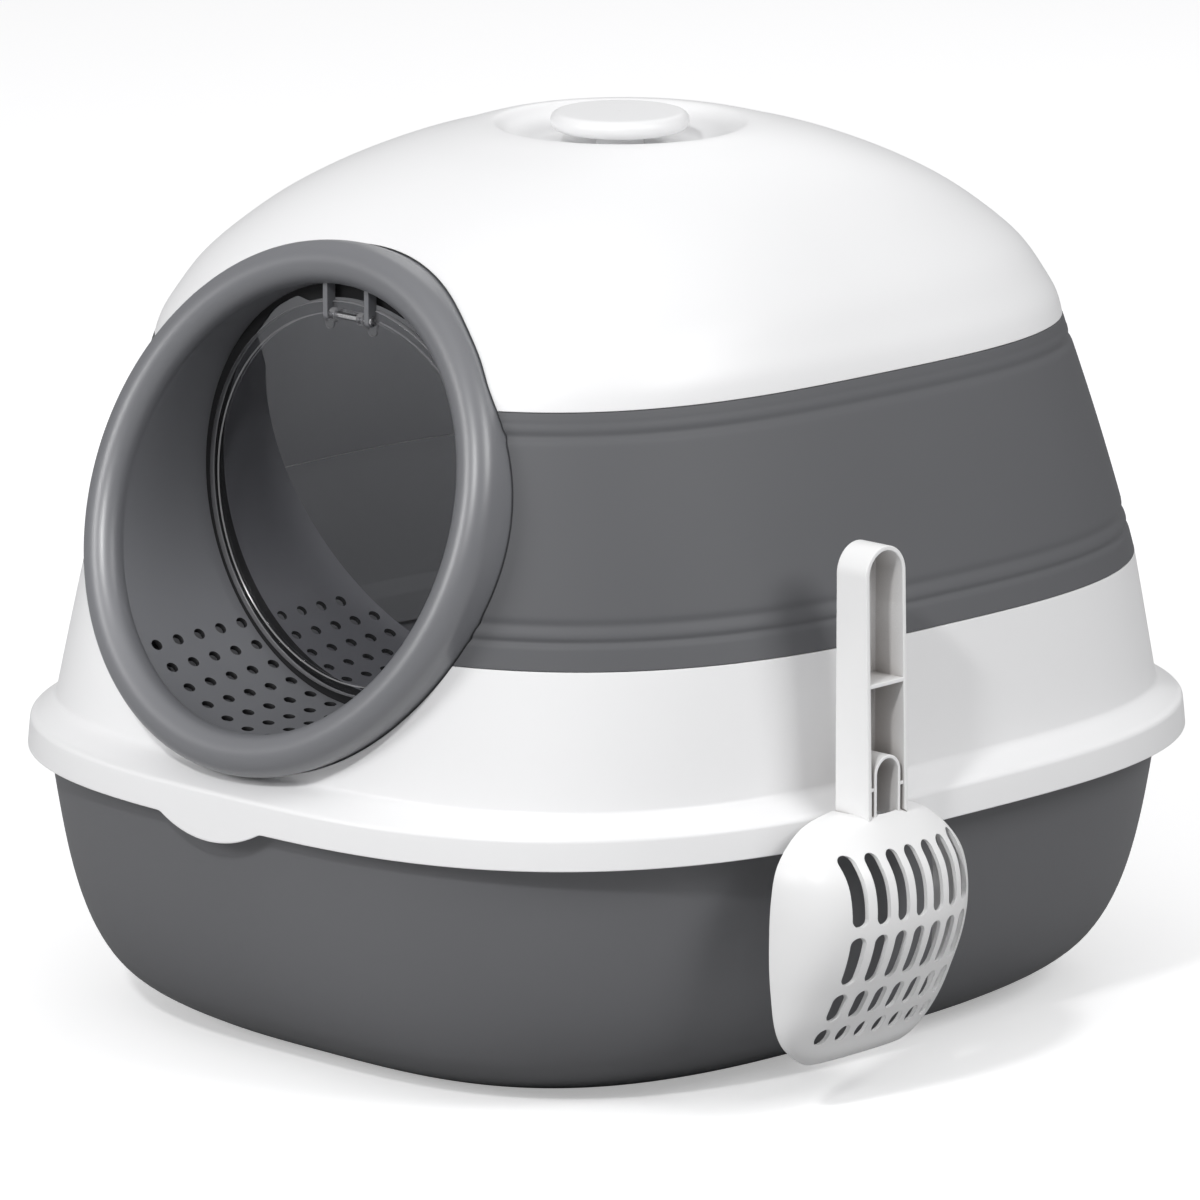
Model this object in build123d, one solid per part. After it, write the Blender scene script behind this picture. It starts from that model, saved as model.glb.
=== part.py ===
from build123d import *
import math
import os

# ---------------------------------------------------------------------------
# Hooded folding litter box with a slanted round front entry, millimetres.
# +Z up, symmetric about X = 0, the entry faces -Y, the scoop hangs on +X.
# Origin: middle of the tray's footprint, on the floor.
#
# Every plan outline is a softened rectangle (superellipse) of half-widths a
# (X) and b (Y), exponent n, centre yc, at height z; k widens the rear half.
# A shell is the loft of its outer outlines less the loft of its inner ones.
# ---------------------------------------------------------------------------

WALL = 2.5                    # moulded wall of tray, ring, band and dome
K_TAPER = 0.04                # the rear is this much wider than the middle

# tray
TRAY_A, TRAY_B, TRAY_YC = 226.0, 251.0, -1.2
TRAY_INSET = [(0.0, 69.8), (2.0, 64.2), (6.0, 55.6), (10.5, 47.2), (16.0, 38.9), (23.0, 31.4),
              (32.0, 25.0), (43.0, 19.4), (55.0, 14.9), (69.0, 10.9), (85.0, 7.3), (105.0, 3.6),
              (126.4, 0.0)]
TRAY_RIM_Z, TRAY_RIM_T = 136.0, 2.6
TRAY_RIM_A, TRAY_RIM_B = 234.2, 254.8

# base ring
SKIRT_Z = 126.4
SKIRT_A, SKIRT_B, SKIRT_N = 241.0, 260.0, 2.91
FLANGE_Z, FLANGE_A, FLANGE_B = 141.3, 239.6, 258.6
FOOT_Z, FOOT_A, FOOT_B, FOOT_N, FOOT_YC = 148.4, 225.5, 241.0, 3.26, -0.9
RING_TOP = dict(z=212.9, a=222.0, b=232.05, n=2.885, yc=1.33)
TAB_X, TAB_HALF, TAB_DROP = -3.5, 33.0, 8.7      # finger tab at the front of the skirt

# band and dome
BAND_TOP = dict(z=326.2, a=180.2, b=205.5, n=3.04, yc=2.67)
BAND_BULGE = 1.1
DOME_H = 93.8
DOME_S = [(0.0, 1.0), (0.05, 0.9945), (0.1, 0.988), (0.2, 0.966), (0.35, 0.927), (0.5, 0.864),
          (0.575, 0.825), (0.65, 0.780), (0.725, 0.724), (0.8, 0.656), (0.85, 0.602), (0.9, 0.540),
          (0.93, 0.496), (0.96, 0.442)]
CREST_R, CREST_Z, CREST_Y = 62.0, 420.9, 13.8    # rim of the knob's dish
DISH_Z, DISH_R = 410.0, 43.0
TONGUE_H, TONGUE_T = 8.0, 1.15                   # rabbet joints of ring, band and dome
SEAM, RABBET_CLEAR = 0.2, 0.3                    # gaps of those joints

# entry
ENTRY_Z = 268.3
ENTRY_TILT = 20.0
BEZEL_Y, BEZEL_R, BEZEL_TUBE = -209.7, 116.6, 10.0
WALL_RX, WALL_RZ = 126.6, 118.97                 # outer wall of the entry at its nose, an ellipse
WALL_FALL, WALL_PINCH = 0.025, 0.0105            # how much less of it is left at the hood, top and sides
OPEN_GAP = 1.0
SLEEVE_Z = 266.0
SLEEVE_R, SLEEVE_Y = 101.0, -158.0               # inner sleeve, rear end
SLEEVE_SLOPE = 0.0433
SLEEVE_T = 2.2
DRIP_D = 5.0
REAR_Z, REAR_R0, REAR_Y0, REAR_R1, REAR_Y1 = 267.9, 99.6, -157.9, 98.4, -70.0
REAR_T = 2.0

# flap and its hinge
PIN_Y, PIN_Z, PIN_R = -169.0, 352.6, 1.5
FLAP_Y, FLAP_Z, FLAP_R, FLAP_T = -167.5, 265.0, 94.5, 1.6
EAR_X, EAR_T = 13.5, 3.0
NOTCH_IN, NOTCH_OUT, NOTCH_Z = 10.9, 16.9, 345.0
WINDOW_X, WINDOW_Z0, WINDOW_Z1 = 7.3, 350.6, 355.0   # window in the flap's tab that shows the pin
BARREL_R, BARREL_CLEAR = 3.3, 0.05

# knob
KNOB_R, KNOB_TOP, KNOB_BOTTOM = 33.3, 425.9, 417.2
STEM_R = 11.5

# scoop
SCOOP_Y = -79.6
HANDLE_X0, HANDLE_X1, HANDLE_W, HANDLE_TOP = 236.8, 257.5, 27.0, 268.8
BOWL_X = 236.5
BOWL = [  # z, half width, depth
    (26.6, 33.0, 4.2), (28.8, 37.5, 7.0), (32.5, 42.6, 9.9), (37.5, 48.0, 12.5), (44.2, 52.2, 16.7),
    (52.1, 54.6, 22.0), (63.3, 56.2, 28.4), (70.3, 57.0, 32.2), (82.0, 57.6, 37.6), (94.1, 57.5, 41.1),
    (104.0, 57.0, 42.1), (112.0, 56.0, 41.6), (120.0, 54.3, 39.4), (126.9, 50.9, 35.2),
    (131.0, 47.5, 32.2), (135.5, 42.5, 28.6), (139.4, 36.2, 25.2), (142.4, 25.6, 22.2), (144.0, 14.5, 20.5)]
BOWL_M = 2.5
SLOT_PITCH, SLOT_W = 11.8, 6.2
SLOT_ROWS = [(98.9, 131.0), (70.3, 94.2), (51.4, 65.6), (38.6, 47.1)]


# ------------------------------------------------------------------ helpers
def outline(a, b, n, z, yc=0.0, k=K_TAPER, count=56):
    """Closed spline round a superellipse, its points spaced evenly."""
    dense = []
    m = 1440
    for i in range(m + 1):
        t = 2 * math.pi * i / m + math.pi / 2
        c, s = math.cos(t), math.sin(t)
        w = math.copysign(abs(s) ** (2 / n), s)
        x = a * math.copysign(abs(c) ** (2 / n), c) * (1 + k * w)
        dense.append((x, yc + b * w))
    run = [0.0]
    for p, q in zip(dense, dense[1:]):
        run.append(run[-1] + math.hypot(q[0] - p[0], q[1] - p[1]))
    pts, j = [], 0
    for i in range(count):
        want = run[-1] * i / count
        while run[j + 1] < want:
            j += 1
        f = (want - run[j]) / max(run[j + 1] - run[j], 1e-9)
        x = dense[j][0] + f * (dense[j + 1][0] - dense[j][0])
        y = dense[j][1] + f * (dense[j + 1][1] - dense[j][1])
        pts.append(Vector(x, y, z))
    return Wire([Edge.make_spline(pts, periodic=True)])


def body(levels):
    """Solid through a stack of outlines (z, a, b, n, yc, k)."""
    return Solid.make_loft([outline(a, b, n, z, yc, k) for z, a, b, n, yc, k in levels], True)


def inset(levels, t):
    """The same stack moved inwards along the profile's normal by t."""
    out = []
    for i, (z, a, b, n, yc, k) in enumerate(levels):
        lo, hi = levels[max(i - 1, 0)], levels[min(i + 1, len(levels) - 1)]
        dz = hi[0] - lo[0]
        dr = ((hi[1] + hi[2]) - (lo[1] + lo[2])) / 2
        ln = math.hypot(dz, dr)
        out.append((z + t * dr / ln, a - t * dz / ln, b - t * dz / ln, n, yc, k))
    return out


def shift(levels, t):
    return [(z, a - t, b - t, n, yc, k) for z, a, b, n, yc, k in levels]


def at_height(levels, z):
    for lo, hi in zip(levels, levels[1:]):
        if lo[0] <= z <= hi[0]:
            f = (z - lo[0]) / (hi[0] - lo[0])
            return tuple(p + f * (q - p) for p, q in zip(lo, hi))
    raise ValueError(z)


def box(x0, x1, y0, y1, z0, z1):
    return Box(x1 - x0, y1 - y0, z1 - z0).located(
        Location(((x0 + x1) / 2, (y0 + y1) / 2, (z0 + z1) / 2))).solid()


def rod_y(r, y0, y1, z, x=0.0):
    pl = Plane(origin=(x, y0, z), x_dir=(1, 0, 0), z_dir=(0, 1, 0))
    return Solid.make_cylinder(r, y1 - y0, pl)


def rod_x(r, x0, x1, y, z):
    pl = Plane(origin=(x0, y, z), x_dir=(0, 1, 0), z_dir=(1, 0, 0))
    return Solid.make_cylinder(r, x1 - x0, pl)


def cone_y(r0, r1, y0, y1, z):
    pl = Plane(origin=(0, y0, z), x_dir=(1, 0, 0), z_dir=(0, 1, 0))
    return Solid.make_cone(r0, r1, y1 - y0, pl)


def turned(profile, x=0.0, y=0.0):
    """Solid of revolution about the vertical through (x, y)."""
    pts = [(r, 0, z) for r, z in profile]
    face = Face(Wire.make_polygon([Vector(*p) for p in pts], close=True))
    return Solid.revolve(face, 360, Axis.Z).moved(Location((x, y, 0)))


def one(shape):
    """The shape as a single solid."""
    found = shape.solids()
    return max(found, key=lambda s: s.volume)


def cut(a, *tools):
    r = a.cut(*tools)
    return one(r)


def join(a, *tools):
    return one(a.fuse(*tools))


def save(shape, name):
    shape.label = name
    export_step(shape, "parts/%s.step" % name)


# ------------------------------------------------------------ hood profile
def lerp(p, q, f):
    return p + (q - p) * f


ring_wall = [(150.0, 224.6, 240.1, 3.22, -0.6, K_TAPER)]
for f in (0.33, 0.66, 1.0):
    ring_wall.append((lerp(150.0, 212.9, f), lerp(224.6, 222.0, f), lerp(240.1, 232.05, f),
                      lerp(3.22, 2.885, f), lerp(-0.6, 1.33, f), K_TAPER))


def band_level(u, extra=0.0):
    z = lerp(RING_TOP["z"], BAND_TOP["z"], u)
    g = BAND_BULGE * 4 * u * (1 - u) - extra
    return (z, lerp(RING_TOP["a"], BAND_TOP["a"], u) + g, lerp(RING_TOP["b"], BAND_TOP["b"], u) + g,
            lerp(RING_TOP["n"], BAND_TOP["n"], u), lerp(RING_TOP["yc"], BAND_TOP["yc"], u), K_TAPER)


def band_u(z):
    return (z - RING_TOP["z"]) / (BAND_TOP["z"] - RING_TOP["z"])


band_wall = [band_level(u) for u in (0, 0.1, 0.2, 0.35, 0.5, 0.65, 0.8, 0.9, 1.0)]

dome_wall = []
for u, s in DOME_S:
    dome_wall.append((BAND_TOP["z"] + DOME_H * u, BAND_TOP["a"] * s,
                      BAND_TOP["b"] * s * (1 - 0.063 * u * u),
                      3.04 - 0.745 * u ** 1.5, lerp(2.67, 13.77, u), K_TAPER * (1 - u)))
dome_top = [(419.3, 70.5, 73.5, 2.12, 13.8, 0.0), (CREST_Z - 0.25, 64.6, 65.6, 2.0, CREST_Y, 0.0),
            (CREST_Z, CREST_R, CREST_R, 2.0, CREST_Y, 0.0)]

hood_outer = ring_wall + band_wall[1:] + dome_wall[1:] + dome_top


def wall_share(t):
    """Size of the entry's wall where it meets the hood, against its size at the nose; t is 0 at its top."""
    d = math.degrees(abs((t + math.pi) % (2 * math.pi) - math.pi))
    u, v = min(d / 50.0, 1.0), min(max((d - 60.0) / 40.0, 0.0), 1.0)
    return 1.0 - WALL_FALL * (1 - u * u * (3 - 2 * u)) - WALL_PINCH * (1 - v * v * (3 - 2 * v))


def opening_prism():
    pts = []
    for i in range(72):
        t = 2 * math.pi * (i + 0.5) / 72
        s = wall_share(t)
        pts.append(Vector((WALL_RX * s + OPEN_GAP) * math.sin(t), -320.0, ENTRY_Z + (WALL_RZ * s + OPEN_GAP) * math.cos(t)))
    return Solid.extrude(Face(Wire([Edge.make_spline(pts, periodic=True)])), Vector(0, 230, 0))


entry_opening = opening_prism()

# -------------------------------------------------------------------- tray
tray_outer = []
for z, i in TRAY_INSET:
    tray_outer.append((z, TRAY_A - i, TRAY_B - i, 3.21 - 0.24 * z / 126.4, TRAY_YC, K_TAPER))
tray_outer.append((TRAY_RIM_Z, TRAY_A + 1.4, TRAY_B + 1.4, 2.96, TRAY_YC, K_TAPER))
tray_inner = inset(tray_outer, WALL)
floor = [(WALL, tray_inner[0][1] - 0.5, tray_inner[0][2] - 0.5, 3.21, TRAY_YC, K_TAPER)]
tray_inner = floor + [lv for lv in tray_inner if lv[0] > WALL + 0.8]
top = tray_inner[-1]
tray_inner[-1] = (TRAY_RIM_Z + 1.0,) + top[1:]
rim = body([(TRAY_RIM_Z - TRAY_RIM_T, TRAY_RIM_A, TRAY_RIM_B, 2.93, -0.6, K_TAPER),
            (TRAY_RIM_Z, TRAY_RIM_A, TRAY_RIM_B, 2.93, -0.6, K_TAPER)])
tray = cut(join(body(tray_outer), rim), body(tray_inner))
save(tray, "tray")

# --------------------------------------------------------------- base ring
skirt_outer = [(SKIRT_Z, SKIRT_A, SKIRT_B, SKIRT_N, 0.0, K_TAPER),
               (139.6, 239.8, 258.8, SKIRT_N, 0.0, K_TAPER),
               (141.0, 239.0, 258.0, SKIRT_N, 0.0, K_TAPER),
               (FLANGE_Z + 0.3, 237.4, 256.3, SKIRT_N, -0.05, K_TAPER),
               (147.7, 227.6, 243.2, FOOT_N, FOOT_YC, K_TAPER),
               (148.7, 225.7, 241.2, FOOT_N, FOOT_YC, K_TAPER)]
flange_inner = [(SKIRT_Z - 14.0, 239.7, 258.7, SKIRT_N, 0.0, K_TAPER),
                (138.6, 237.4, 256.4, SKIRT_N, 0.0, K_TAPER),
                (139.3, 235.6, 254.4, SKIRT_N, 0.0, K_TAPER),
                (145.4, 224.8, 240.3, FOOT_N, FOOT_YC, K_TAPER),
                (150.0, 222.1, 237.6, 3.22, -0.6, K_TAPER)]
ring_inner = flange_inner + [lv for lv in shift(ring_wall[1:], WALL)]
last = ring_inner[-1]
ring_inner[-1] = (last[0] + 0.0,) + last[1:]
ring_inner.append((last[0] + 12.0, last[1] - 4.4, last[2] - 2.8) + last[3:])
outer_solid = body(skirt_outer + ring_wall)
# the finger tab carries the skirt's wall a little lower over a short arc
tab_r = (TAB_HALF ** 2 + TAB_DROP ** 2) / (2 * TAB_DROP)
low = body([(SKIRT_Z - 12.0, SKIRT_A + 1.1, SKIRT_B + 1.1, SKIRT_N, 0.0, K_TAPER),
            (SKIRT_Z + 2.0, SKIRT_A - 0.2, SKIRT_B - 0.2, SKIRT_N, 0.0, K_TAPER)])
tab = low.intersect(rod_y(tab_r, -290, -200, SKIRT_Z - TAB_DROP + tab_r, TAB_X)).solid()
ring_solid = join(outer_solid, tab)
# tongue that the band slips over
tongue_top = RING_TOP["z"] + TONGUE_H
t_lo, t_hi = band_level(0.0), band_level(band_u(tongue_top))
tongue = body(shift([(RING_TOP["z"] - 4.0, RING_TOP["a"] + 0.1, RING_TOP["b"] + 0.5, 2.89, 1.2, K_TAPER),
                     t_lo, t_hi], WALL - TONGUE_T))
ring_solid = join(ring_solid, tongue)
ring_inner[-2] = (RING_TOP["z"], RING_TOP["a"] - WALL, RING_TOP["b"] - WALL, 2.885, 1.33, K_TAPER)
ring_inner[-1] = (t_hi[0] + 1.0, t_hi[1] - WALL - 0.4, t_hi[2] - WALL - 0.3) + t_hi[3:]
ring = cut(ring_solid, body(ring_inner))
# rib that sits on the tray's rim, and the lip that sheds litter inwards
held = outer_solid.moved(Location((0, 0, -1.0)))
rib_out = body([(TRAY_RIM_Z + 0.05, 230.6, 250.0, 3.0, -0.3, K_TAPER), (150, 230.6, 250.0, 3.0, -0.3, K_TAPER)])
rib_in = body([(TRAY_RIM_Z - 1, 228.4, 247.8, 3.0, -0.3, K_TAPER), (151, 228.4, 247.8, 3.0, -0.3, K_TAPER)])
rib = cut(rib_out.intersect(held).solid(), rib_in)
lip_out = body([(128.0, 219.8, 236.6, 3.05, -0.8, K_TAPER), (142.0, 220.4, 237.4, 3.08, -0.8, K_TAPER),
                (147.0, 222.9, 239.0, 3.22, -0.6, K_TAPER), (151.0, 223.0, 239.2, 3.22, -0.6, K_TAPER)])
lip_in = body([(127.0, 217.6, 234.4, 3.05, -0.8, K_TAPER), (142.6, 218.2, 235.2, 3.08, -0.8, K_TAPER),
               (148.4, 220.7, 236.8, 3.22, -0.6, K_TAPER), (152.0, 220.8, 237.0, 3.22, -0.6, K_TAPER)])
lip = cut(lip_out, lip_in)
ring = join(ring, rib, lip)
# moulded hook that carries the scoop
hook = box(231.5, 243.0, SCOOP_Y - 7, SCOOP_Y + 7, 133.6, 136.2).fuse(
    box(240.6, 243.0, SCOOP_Y - 7, SCOOP_Y + 7, 133.6, 141.3)).solid()
ring = join(ring, hook)
ring = cut(ring, entry_opening)
save(ring, "hood_base_ring")

# ------------------------------------------------------------------- band
crease = [(224.6, 0.0), (226.0, 0.9), (227.4, 0.0), (231.0, 0.0), (232.6, 0.9), (234.2, 0.0),
          (313.2, 0.0), (315.2, 0.8), (317.2, 0.0)]
marks = sorted([(RING_TOP["z"] + SEAM, 0.0)] + crease + [(lerp(RING_TOP["z"], BAND_TOP["z"], u), 0.0)
                                                  for u in (0.35, 0.5, 0.65, 0.8)] + [(BAND_TOP["z"] - SEAM, 0.0)])
band_outer = [band_level(band_u(z), e) for z, e in marks]
band_solid = body(band_outer)
r0 = band_level(0.0)
r1 = band_level(band_u(tongue_top + 0.5))
r2 = band_level(band_u(BAND_TOP["z"] - TONGUE_H - 0.5))
r3 = band_level(1.0)
step = WALL - TONGUE_T - RABBET_CLEAR
lo_cut = body([(r0[0] - 1.0, r0[1] - step + 0.36, r0[2] - step + 0.2) + r0[3:], r0[:1] + (r0[1] - step, r0[2] - step) + r0[3:],
               r1[:1] + (r1[1] - step, r1[2] - step) + r1[3:]])
hi_cut = body([r2[:1] + (r2[1] - step, r2[2] - step) + r2[3:], r3[:1] + (r3[1] - step, r3[2] - step) + r3[3:],
               (r3[0] + 1.0, r3[1] - step - 0.3, r3[2] - step - 0.2) + r3[3:]])
mid = [(r0[0] - 1.0, r0[1] - WALL + 0.36, r0[2] - WALL + 0.2) + r0[3:]] + \
    shift([band_level(u) for u in (0, 0.15, 0.35, 0.5, 0.65, 0.85, 1.0)], WALL) + \
    [(r3[0] + 1.0, r3[1] - WALL - 0.3, r3[2] - WALL - 0.2) + r3[3:]]
band = cut(band_solid, body(mid))
band = cut(band, lo_cut)
band = cut(band, hi_cut)
band = cut(band, entry_opening)
save(band, "fold_band")

# ------------------------------------------------------------------- dome
dome_solid = body(dome_wall + dome_top)
dome_in = inset(dome_wall + dome_top[:1], WALL)
first = dome_in[0]
dome_in[0] = (BAND_TOP["z"], BAND_TOP["a"] - WALL, BAND_TOP["b"] - WALL) + first[3:]
d_lo = band_level(band_u(BAND_TOP["z"] - TONGUE_H))
dome_in = [(d_lo[0] - 1.0, d_lo[1] - WALL + 0.4, d_lo[2] - WALL + 0.3) + d_lo[3:]] + dome_in
dome_in.append((418.3, 64.0, 64.4, 2.0, CREST_Y, 0.0))
dish_under = turned([(0, 407.4), (42.5, 407.4), (47.0, 409.4), (52.5, 413.0), (60.0, 416.2), (72.0, 418.0),
                     (72.0, 424.0), (0, 424.0)], 0, CREST_Y)
dome_hollow = cut(body(dome_in), dish_under)
dish = turned([(0, DISH_Z), (DISH_R - 3, DISH_Z), (DISH_R + 2.5, 411.2), (51.0, 414.6), (56.5, 418.4), (59.2, 420.3),
               (60.6, 420.75), (61.4, 422.0), (61.4, 430.0), (0, 430.0)], 0, CREST_Y)
d_tongue = body(shift([d_lo, band_level(1.0),
                       (BAND_TOP["z"] + 4.7, 179.2, 204.3, 3.03, 3.2, 0.038)], WALL - TONGUE_T))
dome = cut(join(dome_solid, d_tongue), dish)
dome = cut(dome, dome_hollow)
screw_hole = Solid.make_cylinder(2.6, 30, Plane(origin=(0, CREST_Y, 395)))
dome = cut(dome, screw_hole)
dome = cut(dome, entry_opening)
save(dome, "hood_dome")

# ------------------------------------------------------------ entry, front
def sleeve_r(y):
    return SLEEVE_R + (SLEEVE_Y - y) * SLEEVE_SLOPE


TILT = math.radians(ENTRY_TILT)


def loop(point, count=48):
    """Closed spline through point(t) for t round the entry, from its top."""
    return Wire([Edge.make_spline([Vector(*point(2 * math.pi * (i + 0.5) / count)) for i in range(count)],
                                  periodic=True)])


def nose(phi, radius=None, depth=None):
    """Section of the bullnose at phi round its tube, 0 outside and 180 inside."""
    r = BEZEL_R + BEZEL_TUBE * math.cos(math.radians(phi)) if radius is None else radius
    d = BEZEL_TUBE * math.sin(math.radians(phi)) if depth is None else depth

    def point(t):
        up = r * math.cos(t)
        return (r * math.sin(t), BEZEL_Y + up * math.sin(TILT) - d * math.cos(TILT),
                ENTRY_Z + up * math.cos(TILT) + d * math.sin(TILT))
    return loop(point)


def tilted_y(z, depth):
    return BEZEL_Y + (z - ENTRY_Z) * math.tan(TILT) + depth / math.cos(TILT)


def hood_front_y(x, z, t):
    """Y of the hood's front wall at x and z, t mm inside its outer face."""
    zz, a, b, n, yc, k = at_height(hood_outer, max(z, hood_outer[0][0]))
    a, b = a - t, b - t
    lo, hi = -1.0, -0.2
    for _ in range(40):
        w = (lo + hi) / 2
        if a * max(1 - abs(w) ** n, 0) ** (1 / n) * (1 + k * w) < abs(x):
            lo = w
        else:
            hi = w
    return yc + b * (lo + hi) / 2


def wall_loop(less, y_of, shrunk=True):
    """Section of the entry's wall, less mm inside its outer face; y_of takes x and z."""
    def point(t):
        s = wall_share(t) if shrunk else 1.0
        x, z = (WALL_RX * s - less) * math.sin(t), ENTRY_Z + (WALL_RZ * s - less) * math.cos(t)
        return (x, y_of(x, z), z)
    return loop(point)


def at_hood(x, z):
    return hood_front_y(x, z, 0.0) + 1.0


def sleeve_loop(more, y_of_z):
    def point(t):
        y = y_of_z(SLEEVE_Z + 102.0 * math.cos(t))
        r = sleeve_r(y) + more
        z = SLEEVE_Z + r * math.cos(t)
        y = y_of_z(z)
        return (r * math.sin(t), y, z)
    return loop(point)


plug = Solid.make_loft([nose(p) for p in (90, 75, 60, 45, 30, 15, 0)] +
                       [wall_loop(0.0, at_hood), wall_loop(0.0, lambda x, z: -222.0 + 0.4354 * (z - 149.0))], True)
passage = Solid.make_loft([nose(0, BEZEL_R + 1.4, 16.0)] + [nose(p) for p in (82, 100, 115, 130, 145, 160, 172)] +
                          [nose(180, BEZEL_R - BEZEL_TUBE, -2.0),
                           sleeve_loop(0.0, lambda z: tilted_y(z, 11.0)),
                           sleeve_loop(0.0, lambda z: SLEEVE_Y + 1.0)], True)
hollow = Solid.make_loft([wall_loop(WALL, lambda x, z: tilted_y(z, 1.5), False), wall_loop(WALL, at_hood),
                          wall_loop(WALL, lambda x, z: -100.0)], True)
kept = Solid.make_loft([sleeve_loop(SLEEVE_T, lambda z: tilted_y(z, -6.0)),
                        sleeve_loop(SLEEVE_T, lambda z: SLEEVE_Y)], True)
hollow = cut(hollow, kept)
front = cut(plug, hollow)
front = cut(front, passage)
# litter falls through rows of holes in the floor of the sleeve
holes = []
for y in (-224.0, -210.5, -197.0, -183.5, -170.0):
    for i in range(-6, 7):
        al = math.radians(7.6 * i)
        d = Vector(math.sin(al), 0, -math.cos(al))
        o = Vector(0, y, SLEEVE_Z) + d * 97.0
        holes.append(Solid.make_cylinder(DRIP_D / 2, 13.0, Plane(origin=o, z_dir=d)))
front = cut(front, *holes)
ears = []
for sx in (-1, 1):
    x0 = sx * EAR_X - EAR_T / 2
    ear = box(x0, x0 + EAR_T, -171.6, -166.0, PIN_Z, 370.0).fuse(
        rod_x(2.8, x0, x0 + EAR_T, PIN_Y + 0.2, PIN_Z - 0.4)).solid()
    ears.append(ear)
front = join(front, *ears)
front = cut(front, rod_x(PIN_R + 0.02, -20, 20, PIN_Y, PIN_Z))


# snap blocks that hold the entry behind the hood's wall
snaps = []
for ang in (38, 72, 108, 142, 208, 332):
    al = math.radians(ang)
    s = wall_share(math.pi / 2 - al)
    x, z = 128.0 * s * math.cos(al), ENTRY_Z + 121.0 * s * math.sin(al)
    y = hood_front_y(x, min(z + 5.0 * abs(math.cos(al)) + 4.0, 400.0), WALL) + 3.4
    b = Box(5.6, 3.2, 13.0).located(Location((0, 0, 0)))
    b = b.moved(Location((x * 0.992, y + 1.6, ENTRY_Z + 119.6 * s * math.sin(al)), (0, -ang, 0)))
    snaps.append(b.solid())
for block in snaps:
    front = join(front, block)
# catch blocks for the rear tunnel's lugs
LUGS = (-148, -90, -32, 0, 180)
for ang in LUGS:
    al = math.radians(ang)
    b = Box(2.4, 2.0, 12.0).moved(Location((104.4 * math.cos(al), -164.6, SLEEVE_Z + 104.4 * math.sin(al)), (0, -ang, 0)))
    front = join(front, b.solid())
save(front, "entry_tunnel_front")

# ------------------------------------------------------------- entry, rear
rear = cone_y(REAR_R0 + REAR_T, REAR_R1 + REAR_T, REAR_Y0, REAR_Y1, REAR_Z)
collar = rod_y(105.6, REAR_Y0, REAR_Y0 + 2.0, 266.6)
rear = join(rear, collar)
rear = cut(rear, cone_y(REAR_R0 + 0.1, REAR_R1 - 0.1, REAR_Y0 - 5, REAR_Y1 + 5, REAR_Z))
edge = [(-72.3, 150), (-84, 180), (-95.7, 210), (-107.4, 240), (-117.2, 265), (-127, 290), (-136, 312),
        (-144.5, 322), (-151.5, 329), (-155.4, 333), (-155.4, 385), (-40, 385), (-40, 150)]
away = Solid.extrude(Face(Wire.make_polygon([Vector(-130, y, z) for y, z in edge], close=True)), Vector(260, 0, 0))
rear = cut(rear, away)
holes = []
for j, y in enumerate((-147.5, -134.5, -121.5, -108.5, -95.5)):
    for i in range(-6, 7):
        al = math.radians(7.2 * i)
        d = Vector(math.sin(al), 0, -math.cos(al))
        zf = REAR_Z - 99 * math.cos(al)
        if y > -84 - 0.39 * (zf - 180) - 7:
            continue
        o = Vector(0, y, REAR_Z) + d * 94.0
        holes.append(Solid.make_cylinder(DRIP_D / 2, 13.0, Plane(origin=o, z_dir=d)))
rear = cut(rear, *holes)
for ang in LUGS:
    al = math.radians(ang)
    arm = Box(1.8, 12.2, 10.0).moved(Location((107.0 * math.cos(al), -162.2, SLEEVE_Z + 107.0 * math.sin(al)), (0, -ang, 0)))
    tip = Box(3.0, 2.0, 10.0).moved(Location((106.0 * math.cos(al), -167.3, SLEEVE_Z + 106.0 * math.sin(al)), (0, -ang, 0)))
    foot = Box(4.6, 2.0, 10.0).moved(Location((105.6 * math.cos(al), REAR_Y0 + 1.0, SLEEVE_Z + 105.6 * math.sin(al)), (0, -ang, 0)))
    rear = join(rear, foot.solid(), arm.solid(), tip.solid())
save(rear, "entry_tunnel_rear")

# -------------------------------------------------------------------- flap
disc = rod_y(FLAP_R, FLAP_Y - FLAP_T / 2, FLAP_Y + FLAP_T / 2, FLAP_Z)
rimr = cut(rod_y(FLAP_R, FLAP_Y - 1.6, FLAP_Y + 1.6, FLAP_Z), rod_y(FLAP_R - 5.5, FLAP_Y - 2, FLAP_Y + 2, FLAP_Z))
flap = join(disc, rimr)
for sx in (-1, 1):
    x0, x1 = sorted((sx * NOTCH_IN, sx * NOTCH_OUT))
    flap = cut(flap, box(x0, x1, -180, -155, NOTCH_Z, 375))
flap = join(flap, rod_x(BARREL_R, -NOTCH_IN, NOTCH_IN, PIN_Y, PIN_Z))
flap = cut(flap, box(-WINDOW_X, WINDOW_X, -180, -155, WINDOW_Z0, WINDOW_Z1))
flap = cut(flap, rod_x(PIN_R + BARREL_CLEAR, -20, 20, PIN_Y, PIN_Z))
save(flap, "entry_flap")

pin = rod_x(PIN_R, -15.4, 15.4, PIN_Y, PIN_Z)
head = rod_x(2.3, 15.05, 16.2, PIN_Y, PIN_Z)
pin = join(pin, head)
save(pin, "flap_hinge_pin")

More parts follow.
